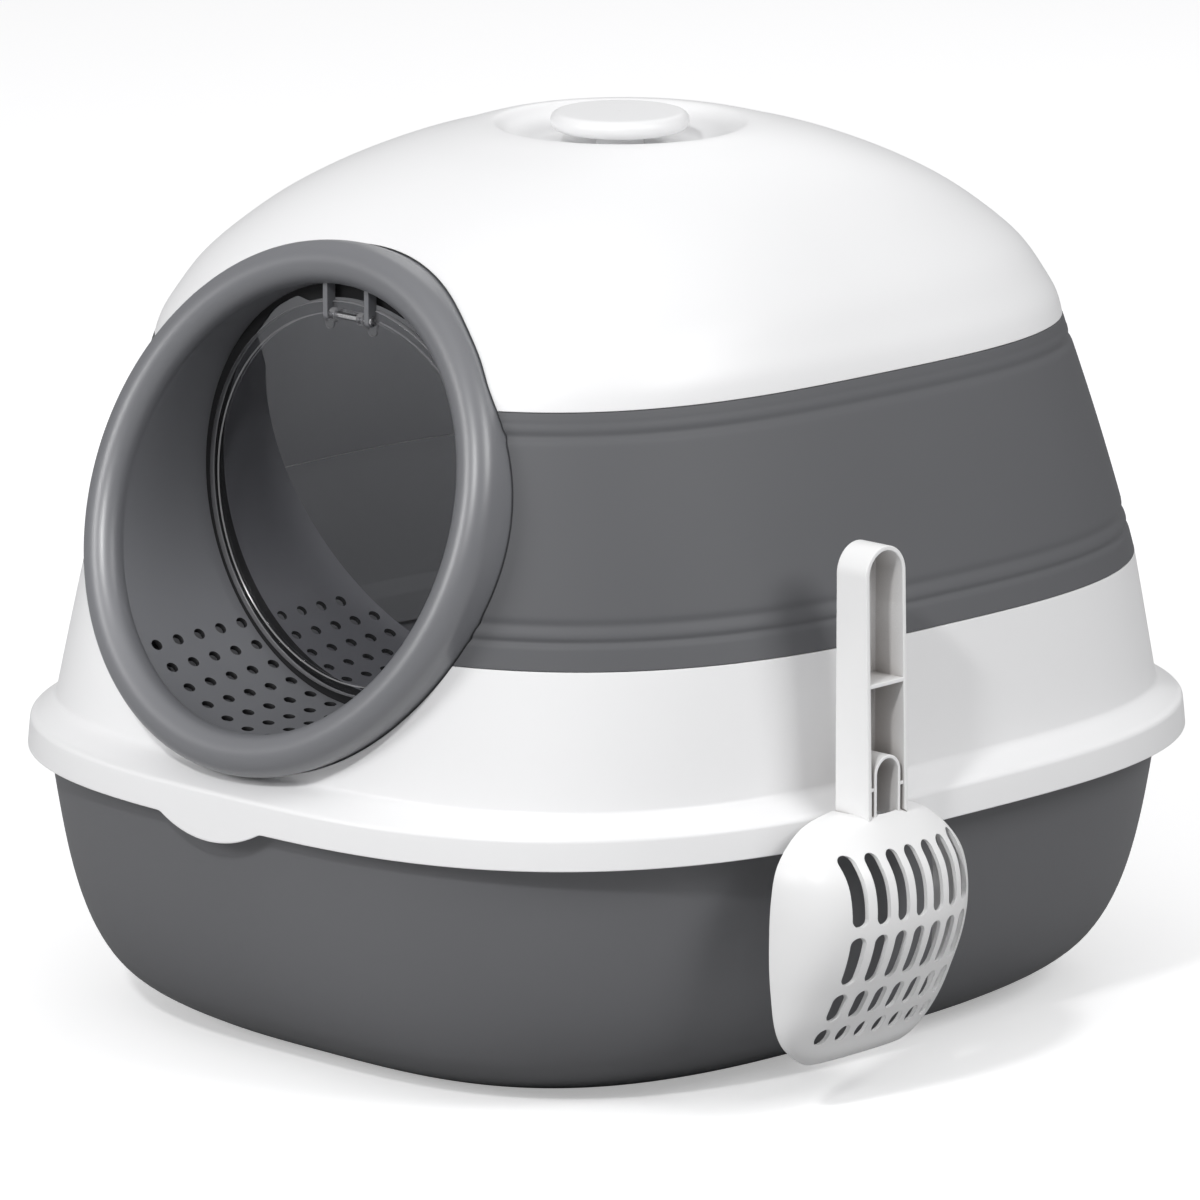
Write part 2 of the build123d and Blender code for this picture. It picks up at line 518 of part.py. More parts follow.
# -------------------------------------------------------------------- knob
prof = [(2.05, KNOB_TOP - 1.8), (0, KNOB_TOP - 1.8), (0, KNOB_TOP), (22, KNOB_TOP)]
for i in range(0, 9):
    t = math.radians(90 - 22.5 * i)
    prof.append((KNOB_R - 4.35 + 4.35 * math.cos(t), KNOB_TOP - 4.35 + 4.35 * math.sin(t)))
prof += [(STEM_R + 1.5, KNOB_BOTTOM), (STEM_R, KNOB_BOTTOM - 1.5), (STEM_R, DISH_Z), (2.05, DISH_Z)]
knob = turned(prof, 0, CREST_Y)
save(knob, "carry_knob")
washer = turned([(2.1, 405.9), (8.0, 405.9), (8.0, 407.4), (2.1, 407.4)], 0, CREST_Y)
save(washer, "knob_washer")
screw = turned([(0, 403.2), (3.4, 403.2), (4.0, 403.7), (4.0, 405.9), (2.0, 405.9), (2.0, 420.5), (0, 421.8)], 0, CREST_Y)
screw = cut(screw, box(-2.6, 2.6, CREST_Y - 0.5, CREST_Y + 0.5, 402.5, 404.4),
            box(-0.5, 0.5, CREST_Y - 2.6, CREST_Y + 2.6, 402.5, 404.4))
save(screw, "knob_screw")

# ------------------------------------------------------------------- scoop
def bowl_wire(z, hw, d, back):
    pts = []
    m = 28
    for i in range(m + 1):
        t = math.pi * i / m
        c = math.cos(t)
        s = math.sin(t)
        y = SCOOP_Y + hw * math.copysign(abs(c) ** (2 / BOWL_M), c)
        x = BOWL_X + d * abs(s) ** (2 / BOWL_M)
        pts.append(Vector(x, y, z))
    curve = Edge.make_spline(pts)
    a, b = pts[0], pts[-1]
    if back > 0:
        p, q = Vector(a.X - back, a.Y, z), Vector(b.X - back, b.Y, z)
        return Wire([curve, Edge.make_line(b, q), Edge.make_line(q, p), Edge.make_line(p, a)])
    return Wire([curve, Edge.make_line(b, a)])


bowl_out = Solid.make_loft([bowl_wire(z, hw, d, 0) for z, hw, d in BOWL], True)
inner = []
T = 2.0
for i, (z, hw, d) in enumerate(BOWL):
    lo, hi = BOWL[max(i - 1, 0)], BOWL[min(i + 1, len(BOWL) - 1)]
    dz, dd, dh = hi[0] - lo[0], hi[2] - lo[2], hi[1] - lo[1]
    ln, lh = math.hypot(dz, dd), math.hypot(dz, dh)
    zi = z + T * dd / ln
    inner.append((zi, hw - T * dz / lh, d - T * dz / ln))
inner = [lv for lv in inner if 28.7 < lv[0] < 141.4]
keep = [inner[0]]
for lv in inner[1:]:
    if lv[0] > keep[-1][0] + 1.5:
        keep.append(lv)
lo = keep[0]
keep = [(28.5, 33.5, max(lo[2] - 2.5, 1.5))] + [lv for lv in keep if lv[0] > 30.5]
keep.append((142.0, 17.0, 18.6))
bowl_in = Solid.make_loft([bowl_wire(z, hw, d, 6.0) for z, hw, d in keep], True)
bowl = cut(bowl_out, bowl_in)
# handle: a channel open towards +X with a round top
hw = HANDLE_W / 2
zc = HANDLE_TOP - hw


def stadium(h, zt, x, z0):
    c = Vector(x, SCOOP_Y, zt)
    arc = Edge.make_three_point_arc(Vector(x, SCOOP_Y - h, zt), Vector(x, SCOOP_Y, zt + h), Vector(x, SCOOP_Y + h, zt))
    return Face(Wire([arc, Edge.make_line(Vector(x, SCOOP_Y + h, zt), Vector(x, SCOOP_Y + h, z0)),
                      Edge.make_line(Vector(x, SCOOP_Y + h, z0), Vector(x, SCOOP_Y - h, z0)),
                      Edge.make_line(Vector(x, SCOOP_Y - h, z0), Vector(x, SCOOP_Y - h, zt))]))


handle = Solid.extrude(stadium(hw, zc, HANDLE_X0, 141.5), Vector(HANDLE_X1 - HANDLE_X0, 0, 0))
channel = Solid.extrude(stadium(hw - 2.3, zc, HANDLE_X0 + 2.0, 143.5), Vector(40, 0, 0))
handle = cut(handle, channel)
rib_c = box(HANDLE_X0 + 1, 256.3, SCOOP_Y - hw + 1, SCOOP_Y + hw - 1, 203.6, 205.6)
arch = cut(Solid.extrude(stadium(8.9, 162.2, HANDLE_X0 + 1, 142.0), Vector(19.2, 0, 0)),
           Solid.extrude(stadium(7.2, 162.2, HANDLE_X0 + 2, 140.0), Vector(30, 0, 0)))
webs = [box(252.8, 256.4, SCOOP_Y - hw + 1, SCOOP_Y - 8.3, 155.2, 157.0), box(252.8, 256.4, SCOOP_Y + 8.3, SCOOP_Y + hw - 1, 155.2, 157.0)]
scoop = join(bowl, handle)
scoop = join(scoop, rib_c, arch, *webs)
# catch lip behind the bowl's top edge that drops behind the hook
scoop = join(scoop, box(236.6, 238.6, SCOOP_Y - 11, SCOOP_Y + 11, 137.2, 143.0))
slots = []
for j in range(-3, 4):
    y = SCOOP_Y + j * SLOT_PITCH
    for z0, z1 in SLOT_ROWS:
        r = SLOT_W / 2
        s = box(238.9, 285, y - r, y + r, z0 + r, z1 - r).fuse(
            rod_x(r, 238.9, 285, y, z0 + r), rod_x(r, 238.9, 285, y, z1 - r))
        slots.append(one(s))
scoop = cut(scoop, *slots)
# its back edge follows the skirt with a little room
room = body([(118.0, SKIRT_A + 1.6, SKIRT_B + 1.6, SKIRT_N, 0.0, K_TAPER),
             (139.6, SKIRT_A + 0.2, SKIRT_B + 0.2, SKIRT_N, 0.0, K_TAPER),
             (141.4, SKIRT_A - 0.6, SKIRT_B - 0.6, SKIRT_N, 0.0, K_TAPER)])
scoop = cut(scoop, room)
save(scoop, "scoop")
print("done")
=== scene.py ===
import math

import bmesh
import bpy
import numpy as np
from mathutils import Matrix, Vector
from mathutils.bvhtree import BVHTree
from mathutils.interpolate import poly_3d_calc


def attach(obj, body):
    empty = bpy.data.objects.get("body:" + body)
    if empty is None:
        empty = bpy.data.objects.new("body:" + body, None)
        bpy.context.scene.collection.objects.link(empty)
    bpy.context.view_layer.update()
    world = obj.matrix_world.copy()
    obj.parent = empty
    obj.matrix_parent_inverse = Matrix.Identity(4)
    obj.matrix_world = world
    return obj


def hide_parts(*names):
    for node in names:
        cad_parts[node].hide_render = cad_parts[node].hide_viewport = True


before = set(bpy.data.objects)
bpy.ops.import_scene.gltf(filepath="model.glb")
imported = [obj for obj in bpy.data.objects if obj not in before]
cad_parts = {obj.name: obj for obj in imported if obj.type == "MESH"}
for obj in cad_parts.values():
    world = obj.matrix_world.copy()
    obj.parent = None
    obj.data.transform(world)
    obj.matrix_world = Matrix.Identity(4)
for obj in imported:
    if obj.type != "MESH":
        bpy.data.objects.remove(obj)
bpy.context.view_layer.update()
scene = bpy.context.scene

# Everything is worked out in millimetres, in the model's own frame, and each
# finished mesh is scaled to metres.
MM = 0.001
TAU = 2 * math.pi
K = 0.04


# ------------------------------------------------------------------ helpers
def lerp(p, q, f):
    return p + (q - p) * f


# Where the columns of every plan outline stand, as shares of its length from
# the middle of the rear: closer together at the front, round the finger tab.
FR = np.concatenate([np.linspace(0, 0.472, 132, endpoint=False), np.linspace(0.472, 0.528, 72, endpoint=False),
                     np.linspace(0.528, 1, 132, endpoint=False)])


def section(row):
    z, a, b, n, yc, k = row
    t = np.linspace(0, TAU, 4097) + math.pi / 2
    c, s = np.cos(t), np.sin(t)
    w = np.sign(s) * np.abs(s) ** (2 / n)
    x = a * np.sign(c) * np.abs(c) ** (2 / n) * (1 + k * w)
    y = yc + b * w
    run = np.concatenate([[0.0], np.cumsum(np.hypot(np.diff(x), np.diff(y)))])
    run /= run[-1]
    return np.stack([np.interp(FR, run, x), np.interp(FR, run, y), np.full(len(FR), z)], 1)


def cubic(t, p, q):
    """Natural cubic spline through the rows p at t, read at q."""
    t, p = np.asarray(t, float), np.asarray(p, float)
    n, h = len(t), np.diff(t)
    m = np.zeros((n, n))
    r = np.zeros((n, p.shape[1]))
    m[0, 0] = m[-1, -1] = 1
    for i in range(1, n - 1):
        m[i, i - 1], m[i, i], m[i, i + 1] = h[i - 1], 2 * (h[i - 1] + h[i]), h[i]
        r[i] = 6 * ((p[i + 1] - p[i]) / h[i] - (p[i] - p[i - 1]) / h[i - 1])
    g = np.linalg.solve(m, r)
    i = np.clip(np.searchsorted(t, q, side="right") - 1, 0, n - 2)
    hh, u, v = h[i][:, None], (q - t[i])[:, None], (t[i + 1] - q)[:, None]
    return (g[i] * v ** 3 + g[i + 1] * u ** 3) / (6 * hh) + (p[i] / hh - g[i] * hh / 6) * v + (p[i + 1] / hh - g[i + 1] * hh / 6) * u


def smooth(rows, step=4.0):
    p = np.array(rows, float)
    t = np.concatenate([[0.0], np.cumsum(np.hypot(np.diff(p[:, 0]), np.diff(p[:, 1])))])
    q = np.linspace(0, t[-1], max(3, int(t[-1] / step) + 1))
    return [tuple(r) for r in cubic(t, p, q)]


def inset(rows, t):
    """Rows moved inwards along the profile's normal."""
    out = []
    for i, r in enumerate(rows):
        lo, hi = rows[max(i - 1, 0)], rows[min(i + 1, len(rows) - 1)]
        dz, dr = hi[0] - lo[0], ((hi[1] + hi[2]) - (lo[1] + lo[2])) / 2
        ln = math.hypot(dz, dr)
        out.append((r[0] + t * dr / ln, r[1] - t * dz / ln, r[2] - t * dz / ln) + tuple(r[3:]))
    return out


def ease(items, closed=True, seg=4):
    """Rows of a profile with the corners of radius r rounded: items are (row, r)."""
    rows = [np.array(i[0], float) for i in items]
    out = []
    m = len(rows)
    for i in range(m):
        r = items[i][1]
        if not r or (not closed and i in (0, m - 1)):
            out.append(tuple(rows[i]))
            continue
        q = rows[i]

        def near(o):
            d = math.hypot(o[0] - q[0], ((o[1] - q[1]) + (o[2] - q[2])) / 2) if len(q) > 2 else math.hypot(*(o - q))
            return q + (o - q) * min(r / max(d, 1e-6), 0.47)
        e, f = near(rows[i - 1]), near(rows[(i + 1) % m])
        for j in range(seg + 1):
            u = j / seg
            out.append(tuple((1 - u) ** 2 * e + 2 * u * (1 - u) * q + u * u * f))
    return out


def sweep(grid, closed=False, wrap=True, flip=False, first=None, last=None):
    """Vertices and faces of a grid of points, rows by columns."""
    rn, cn, _ = grid.shape
    v = grid.reshape(-1, 3)
    r, c = np.meshgrid(np.arange(rn if closed else rn - 1), np.arange(cn if wrap else cn - 1), indexing="ij")
    r2, c2 = (r + 1) % rn, (c + 1) % cn
    faces = np.stack([r * cn + c, r * cn + c2, r2 * cn + c2, r2 * cn + c], -1).reshape(-1, 4).tolist()
    v = [tuple(p) for p in v]
    if first is not None:
        v.append(tuple(first))
        faces += [[len(v) - 1, (j + 1) % cn, j] for j in range(cn)]
    if last is not None:
        v.append(tuple(last))
        o = (rn - 1) * cn
        faces += [[o + j, o + (j + 1) % cn, len(v) - 1] for j in range(cn)]
    if flip:
        faces = [f[::-1] for f in faces]
    return v, faces


def merge(*shapes):
    v, f = [], []
    for sv, sf in shapes:
        o = len(v)
        v += list(sv)
        f += [[i + o for i in face] for face in sf]
    return v, f


def raw(name, shape, pick=None, mats=()):
    v, f = shape
    me = bpy.data.meshes.new(name)
    me.from_pydata([tuple(float(c) for c in p) for p in v], [], f)
    for m in mats:
        me.materials.append(m)
    me.update()
    if pick is not None:
        me.polygons.foreach_set("material_index", np.asarray(pick, np.int32))
    ob = bpy.data.objects.new(name, me)
    scene.collection.objects.link(ob)
    return ob


def corner_normals(me, split=34.0):
    """A normal for each face corner: faces within the split angle, by area."""
    nl, np_ = len(me.loops), len(me.polygons)
    lv = np.empty(nl, np.int32)
    me.loops.foreach_get("vertex_index", lv)
    tot = np.empty(np_, np.int32)
    me.polygons.foreach_get("loop_total", tot)
    pn = np.empty(np_ * 3, np.float32)
    me.polygons.foreach_get("normal", pn)
    pn = pn.reshape(-1, 3).astype(float)
    ar = np.empty(np_, np.float32)
    me.polygons.foreach_get("area", ar)
    lp = np.repeat(np.arange(np_), tot)
    order = np.argsort(lv, kind="stable")
    sv, sp = lv[order], lp[order]
    fn, fw = pn[sp], (ar[sp].astype(float) + 1e-9)[:, None]
    acc = fn * fw
    lim = math.cos(math.radians(split))
    d = 1
    while d < nl:
        i = np.nonzero(sv[d:] == sv[:-d])[0]
        if not len(i):
            break
        j = i + d
        ok = (fn[i] * fn[j]).sum(1) > lim
        i, j = i[ok], j[ok]
        np.add.at(acc, i, fn[j] * fw[j])
        np.add.at(acc, j, fn[i] * fw[i])
        d += 1
    acc /= np.maximum(np.linalg.norm(acc, axis=1), 1e-12)[:, None]
    out = np.empty((nl, 3))
    out[order] = acc
    return out


def snapshot(me):
    co = [v.co.copy() for v in me.vertices]
    polys = [list(p.vertices) for p in me.polygons]
    return {"co": co, "polys": polys, "start": [p.loop_start for p in me.polygons],
            "pn": [p.normal.copy() for p in me.polygons], "n": corner_normals(me),
            "tree": BVHTree.FromPolygons(co, polys)}


def restored(me, sources):
    """Corner normals of a cut mesh, read from the meshes that it was cut from."""
    out = corner_normals(me)
    for p in me.polygons:
        c, n = p.center, p.normal
        for li in p.loop_indices:
            co = me.vertices[me.loops[li].vertex_index].co
            q = co.lerp(c, 0.03)
            for s in sources:
                loc, _, i, dist = s["tree"].find_nearest(q)
                if i is None or dist > 0.02 or s["pn"][i].dot(n) < 0.9:
                    continue
                w = poly_3d_calc([s["co"][k] for k in s["polys"][i]], co)
                o = s["start"][i]
                vec = sum((s["n"][o + k] * w[k] for k in range(len(w))), np.zeros(3))
                ln = np.linalg.norm(vec)
                if ln > 0.5 and vec.dot(np.array(n)) > 0.5 * ln:
                    out[li] = vec / ln
                    break
    return out


def carve(ob, *steps):
    """Runs boolean steps ('cut' or 'join', object) on ob, and keeps the smooth shading."""
    sources = [snapshot(ob.data)]
    for kind, tool in steps:
        if kind == "join":
            sources.append(snapshot(tool.data))
    for kind, tool in steps:
        m = ob.modifiers.new("b", "BOOLEAN")
        m.operation = "DIFFERENCE" if kind == "cut" else "UNION"
        m.solver = "EXACT"
        m.object = tool
        dg = bpy.context.evaluated_depsgraph_get()
        new = bpy.data.meshes.new_from_object(ob.evaluated_get(dg))
        ob.modifiers.clear()
        ob.data = new
    ob["n"] = 1
    for _, tool in steps:
        bpy.data.objects.remove(tool)
    return ob, restored(ob.data, sources)


def done(ob, body, mats, replaces=(), normals=None, split=34.0):
    """Scales a finished mesh to metres, shades it, and gives it its material and body."""
    me = ob.data
    if normals is None:
        normals = corner_normals(me, split)
    which = np.zeros(len(me.polygons), np.int32)
    me.polygons.foreach_get("material_index", which)
    me.materials.clear()
    for m in (mats if isinstance(mats, (list, tuple)) else [mats]):
        me.materials.append(m)
    me.polygons.foreach_set("material_index", np.clip(which, 0, len(me.materials) - 1))
    me.transform(Matrix.Scale(MM, 4))
    me.polygons.foreach_set("use_smooth", np.ones(len(me.polygons), bool))
    me.update()
    me.normals_split_custom_set([tuple(n) for n in normals])
    if "n" in ob:
        del ob["n"]
    if replaces:
        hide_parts(*replaces)
    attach(ob, body)
    return ob


def turned(profile, cols=128, x=0.0, y=0.0, axis="z", closed=False, first=None, last=None):
    """Grid of a profile (radius, height) turned about an axis, with optional poles."""
    t = np.linspace(0, TAU, cols, endpoint=False)
    rows = []
    for r, h in profile:
        if axis == "z":
            rows.append(np.stack([x + r * np.cos(t), y + r * np.sin(t), np.full(cols, h)], 1))
        elif axis == "x":
            rows.append(np.stack([np.full(cols, h), x + r * np.cos(t), y + r * np.sin(t)], 1))
        else:
            rows.append(np.stack([x + r * np.sin(t), np.full(cols, h), y + r * np.cos(t)], 1))
    return sweep(np.array(rows), closed=closed, first=first, last=last)


def peg(o, d, stops, cols=24):
    """A closed peg from o along d, with (distance, radius) stops."""
    d = Vector(d).normalized()
    u = d.orthogonal().normalized()
    w = d.cross(u)
    v = []
    for s, r in stops:
        for j in range(cols):
            t = TAU * j / cols
            v.append(tuple(Vector(o) + d * s + (u * math.cos(t) + w * math.sin(t)) * r))
    m = len(stops)
    f = [[i * cols + j, i * cols + (j + 1) % cols, (i + 1) * cols + (j + 1) % cols, (i + 1) * cols + j]
         for i in range(m - 1) for j in range(cols)]
    f.append(list(range(cols))[::-1])
    f.append([(m - 1) * cols + j for j in range(cols)])
    return v, f


def prism(points, axis, h0, h1, edge=0.0, segs=3):
    """A flat outline pushed from h0 to h1 along an axis, its rim edges rounded."""
    bm = bmesh.new()
    lo = []
    for p, q in points:
        lo.append(bm.verts.new({"x": (h0, p, q), "y": (p, h0, q), "z": (p, q, h0)}[axis]))
    f = bm.faces.new(lo)
    r = bmesh.ops.extrude_face_region(bm, geom=[f])
    for v in [g for g in r["geom"] if isinstance(g, bmesh.types.BMVert)]:
        v.co[{"x": 0, "y": 1, "z": 2}[axis]] = h1
    bmesh.ops.recalc_face_normals(bm, faces=bm.faces)
    if edge:
        sharp = [e for e in bm.edges if len(e.link_faces) == 2 and e.calc_face_angle() > math.radians(28)]
        bmesh.ops.bevel(bm, geom=sharp, offset=edge, segments=segs, profile=0.5, affect="EDGES", clamp_overlap=True)
    bm.verts.index_update()
    v = [tuple(x.co) for x in bm.verts]
    faces = [[x.index for x in g.verts] for g in bm.faces]
    bm.free()
    return v, faces


def block(x0, x1, y0, y1, z0, z1, edge=0.4):
    return prism([(y0, z0), (y1, z0), (y1, z1), (y0, z1)], "x", x0, x1, edge)


def arc(cx, cy, r, a0, a1, n):
    return [(cx + r * math.cos(math.radians(lerp(a0, a1, i / n))), cy + r * math.sin(math.radians(lerp(a0, a1, i / n))))
            for i in range(n + 1)]


# ---------------------------------------------------------------- materials
def material(name):
    m = bpy.data.materials.new(name)
    m.use_nodes = True
    nt = m.node_tree
    return m, nt, nt.nodes["Principled BSDF"]


def plastic(name, colour, rough, grain, depth, spec=0.5, edge=0.35, tone=0.03, grain2=None, coat=0.0):
    """Moulded plastic: fine spark-eroded grain, slow change of tone and sheen, softened edges."""
    m, nt, bsdf = material(name)
    n, ln = nt.nodes.new, nt.links.new
    co = n("ShaderNodeTexCoord")
    fine = n("ShaderNodeTexNoise")
    fine.inputs["Scale"].default_value = 1000.0 / grain
    fine.inputs["Detail"].default_value = 3.0
    fine.inputs["Roughness"].default_value = 0.62
    ln(co.outputs["Object"], fine.inputs["Vector"])
    wide = n("ShaderNodeTexNoise")
    wide.inputs["Scale"].default_value = 6.0
    wide.inputs["Detail"].default_value = 2.0
    ln(co.outputs["Object"], wide.inputs["Vector"])
    ramp = n("ShaderNodeValToRGB")
    lo = [c * (1 - tone) for c in colour]
    hi = [min(c * (1 + tone), 1.0) for c in colour]
    ramp.color_ramp.elements[0].position = 0.3
    ramp.color_ramp.elements[1].position = 0.7
    ramp.color_ramp.elements[0].color = (*lo, 1)
    ramp.color_ramp.elements[1].color = (*hi, 1)
    ln(wide.outputs["Fac"], ramp.inputs["Fac"])
    ln(ramp.outputs["Color"], bsdf.inputs["Base Color"])
    rr = n("ShaderNodeMapRange")
    rr.inputs["From Min"].default_value = 0.3
    rr.inputs["From Max"].default_value = 0.7
    rr.inputs["To Min"].default_value = rough - 0.035
    rr.inputs["To Max"].default_value = rough + 0.035
    ln(fine.outputs["Fac"], rr.inputs["Value"])
    ln(rr.outputs["Result"], bsdf.inputs["Roughness"])
    bev = n("ShaderNodeBevel")
    bev.samples = 4
    bev.inputs["Radius"].default_value = edge * MM
    bump = n("ShaderNodeBump")
    bump.inputs["Strength"].default_value = 1.0
    bump.inputs["Distance"].default_value = depth * MM
    ln(fine.outputs["Fac"], bump.inputs["Height"])
    ln(bev.outputs["Normal"], bump.inputs["Normal"])
    ln(bump.outputs["Normal"], bsdf.inputs["Normal"])
    bsdf.inputs["Specular IOR Level"].default_value = spec
    bsdf.inputs["Coat Weight"].default_value = coat
    bsdf.inputs["Coat Roughness"].default_value = 0.25
    return m


grey = plastic("grey_plastic", (0.160, 0.163, 0.175), 0.39, 0.42, 0.010, spec=1.0)
grey_tray = plastic("grey_tray_plastic", (0.118, 0.120, 0.128), 0.54, 0.5, 0.016, spec=1.0)
# near-black colour painted on gap faces, hole walls and the flap seat as their shade
painted_shade = plastic("grey_plastic_gaps", (0.012, 0.012, 0.013), 0.6, 0.5, 0.008, spec=0.2)
white = plastic("white_plastic", (0.855, 0.855, 0.86), 0.40, 0.6, 0.006, spec=0.5, tone=0.006, edge=0.45)
soft = plastic("soft_band", (0.110, 0.112, 0.119), 0.58, 0.35, 0.012, spec=0.4, edge=0.3)
inside = plastic("hood_inside", (0.135, 0.137, 0.143), 0.6, 0.5, 0.01, spec=0.3)


def white_painted_shade(name, colour, painted_shade_colour, reach):
    """White plastic with painted shade: its colour is darkened in its own narrow hollows, read from ambient occlusion.
    """
    m = plastic(name, colour, 0.40, 0.6, 0.006, spec=0.5, tone=0.006, edge=0.45)
    nt = m.node_tree
    bsdf = nt.nodes["Principled BSDF"]
    ramp = next(x for x in nt.nodes if x.type == "VALTORGB")
    ao = nt.nodes.new("ShaderNodeAmbientOcclusion")
    ao.samples = 8
    ao.inputs["Distance"].default_value = reach
    cr = nt.nodes.new("ShaderNodeValToRGB")
    cr.color_ramp.elements[0].position = 0.05
    cr.color_ramp.elements[1].position = 0.62
    cr.color_ramp.elements[0].color = (*painted_shade_colour, 1)
    cr.color_ramp.elements[1].color = (1, 1, 1, 1)
    mul = nt.nodes.new("ShaderNodeMix")
    mul.data_type = "RGBA"
    mul.blend_type = "MULTIPLY"
    mul.inputs["Factor"].default_value = 1.0
    nt.links.new(ao.outputs["AO"], cr.inputs["Fac"])
    nt.links.new(ramp.outputs["Color"], mul.inputs["A"])
    nt.links.new(cr.outputs["Color"], mul.inputs["B"])
    nt.links.new(mul.outputs["Result"], bsdf.inputs["Base Color"])
    return m


# the scoop's white is darkened towards a brownish grey in its hollows as painted shade
scoop_white = white_painted_shade("scoop_plastic", (0.85, 0.85, 0.85), (0.46, 0.43, 0.41), 0.03)


def clear_plastic(name, base, rough, least):
    """Smoky clear sheet: it darkens what is behind it and mirrors by angle."""
    m, nt, bsdf = material(name)
    n, ln = nt.nodes.new, nt.links.new
    out = nt.nodes["Material Output"]
    co = n("ShaderNodeTexCoord")
    haze = n("ShaderNodeTexNoise")
    haze.inputs["Scale"].default_value = 220.0
    haze.inputs["Detail"].default_value = 2.0
    ln(co.outputs["Object"], haze.inputs["Vector"])
    tint = n("ShaderNodeValToRGB")
    tint.color_ramp.elements[0].color = (0.92, 0.92, 0.93, 1)
    tint.color_ramp.elements[1].color = (0.95, 0.95, 0.96, 1)
    ln(haze.outputs["Fac"], tint.inputs["Fac"])
    see = n("ShaderNodeBsdfTransparent")
    ln(tint.outputs["Color"], see.inputs["Color"])
    bsdf.inputs["Base Color"].default_value = (*base, 1)
    bsdf.inputs["Roughness"].default_value = rough
    bev = n("ShaderNodeBevel")
    bev.samples = 4
    bev.inputs["Radius"].default_value = 0.4 * MM
    ln(bev.outputs["Normal"], bsdf.inputs["Normal"])
    lw = n("ShaderNodeLayerWeight")
    lw.inputs["Blend"].default_value = 0.5
    ln(bev.outputs["Normal"], lw.inputs["Normal"])
    pw = n("ShaderNodeMath")
    pw.operation = "POWER"
    pw.inputs[1].default_value = 4.5
    ln(lw.outputs["Facing"], pw.inputs[0])
    mr = n("ShaderNodeMapRange")
    mr.inputs["To Min"].default_value = least
    mr.inputs["To Max"].default_value = 1.0
    ln(pw.outputs["Value"], mr.inputs["Value"])
    mix = n("ShaderNodeMixShader")
    ln(mr.outputs["Result"], mix.inputs["Fac"])
    ln(see.outputs["BSDF"], mix.inputs[1])
    ln(bsdf.outputs["BSDF"], mix.inputs[2])
    ln(mix.outputs["Shader"], out.inputs["Surface"])
    return m


clear = clear_plastic("smoke_clear", (0.05, 0.05, 0.052), 0.08, 0.07)
# lighter clear colour for the flap's rim faces, a painted edge glow
clear_edge = clear_plastic("smoke_clear_edge", (0.36, 0.36, 0.37), 0.2, 0.5)


def metal():
    m, nt, bsdf = material("bright_steel")
    n, ln = nt.nodes.new, nt.links.new
    co = n("ShaderNodeTexCoord")
    mp = n("ShaderNodeMapping")
    mp.inputs["Scale"].default_value = (60.0, 900.0, 900.0)
    ln(co.outputs["Object"], mp.inputs["Vector"])
    line = n("ShaderNodeTexNoise")
    line.inputs["Scale"].default_value = 1.0
    ln(mp.outputs["Vector"], line.inputs["Vector"])
    rr = n("ShaderNodeMapRange")
    rr.inputs["To Min"].default_value = 0.18
    rr.inputs["To Max"].default_value = 0.34
    ln(line.outputs["Fac"], rr.inputs["Value"])
    ln(rr.outputs["Result"], bsdf.inputs["Roughness"])
    bsdf.inputs["Base Color"].default_value = (0.72, 0.72, 0.73, 1)
    bsdf.inputs["Metallic"].default_value = 1.0
    return m


steel = metal()

# --------------------------------------------------------------------- tray
WALL = 2.5
TRAY_INSET = [(0.0, 69.8), (2.0, 64.2), (6.0, 55.6), (10.5, 47.2), (16.0, 38.9), (23.0, 31.4), (32.0, 25.0),
              (43.0, 19.4), (55.0, 14.9), (69.0, 10.9), (85.0, 7.3), (105.0, 3.6), (126.4, 0.0)]
tray_ctl = [(z, 226.0 - i, 251.0 - i, 3.21 - 0.24 * z / 126.4, -1.2, K) for z, i in TRAY_INSET]
tray_ctl.append((134.0, 227.15, 252.15, 2.96, -1.2, K))
tray_wall = smooth(tray_ctl, 4.0)
tray_in = [r for r in inset(tray_wall, WALL) if r[0] > WALL + 1.2]
foot = tray_wall[0]
flat = [(0.0, foot[1] * f, foot[2] * f, 3.21, -1.2, K) for f in (0.1, 0.3, 0.6, 0.85, 0.96)]
low = tray_in[0]
well = [(WALL, low[1] * f - 1.5, low[2] * f - 1.5, 3.21, -1.2, K) for f in (0.98, 0.9, 0.6, 0.3, 0.1)]
top = tray_wall[-1]
in_top = tray_in[-1]
lip = ease([((134.0, 227.2, 252.2, 2.96, -1.2, K), 0.6), ((133.5, 234.2, 254.8, 2.93, -0.6, K), 0.7),
            ((136.0, 234.2, 254.8, 2.93, -0.6, K), 0.9), ((136.0, in_top[1], in_top[2], 2.96, -1.2, K), 1.0),
            ((130.0, in_top[1] - 0.5, in_top[2] - 0.5, 2.96, -1.2, K), 0.0)], closed=False)[1:-1]
rows = flat + tray_wall[:-1] + lip + tray_in[::-1][1:] + well
grid = np.array([section(r) for r in rows])
tray = raw("tray_shell", sweep(grid, first=(0, -1.2, 0), last=(0, -1.2, WALL)))
done(tray, "tray_body", grey_tray, ("tray",))

# --------------------------------------------------------------- base ring
RING_TOP = (212.9, 222.0, 232.05, 2.885, 1.33, K)
BAND_TOP = (326.2, 180.2, 205.5, 3.04, 2.67, K)
SEAM = 0.25


def band_row(z, inwards=0.0):
    u = (z - 212.9) / 113.3
    g = 1.1 * 4 * u * (1 - u) - inwards
    r = [lerp(p, q, u) for p, q in zip(RING_TOP, BAND_TOP)]
    return (z, r[1] + g, r[2] + g, r[3], r[4], K)


def less(row, t, z=None):
    return (row[0] if z is None else z, row[1] - t, row[2] - t) + tuple(row[3:])


TAB_X, TAB_HALF, TAB_DROP = -3.5, 33.0, 8.7
TAB_R = (TAB_HALF ** 2 + TAB_DROP ** 2) / (2 * TAB_DROP)


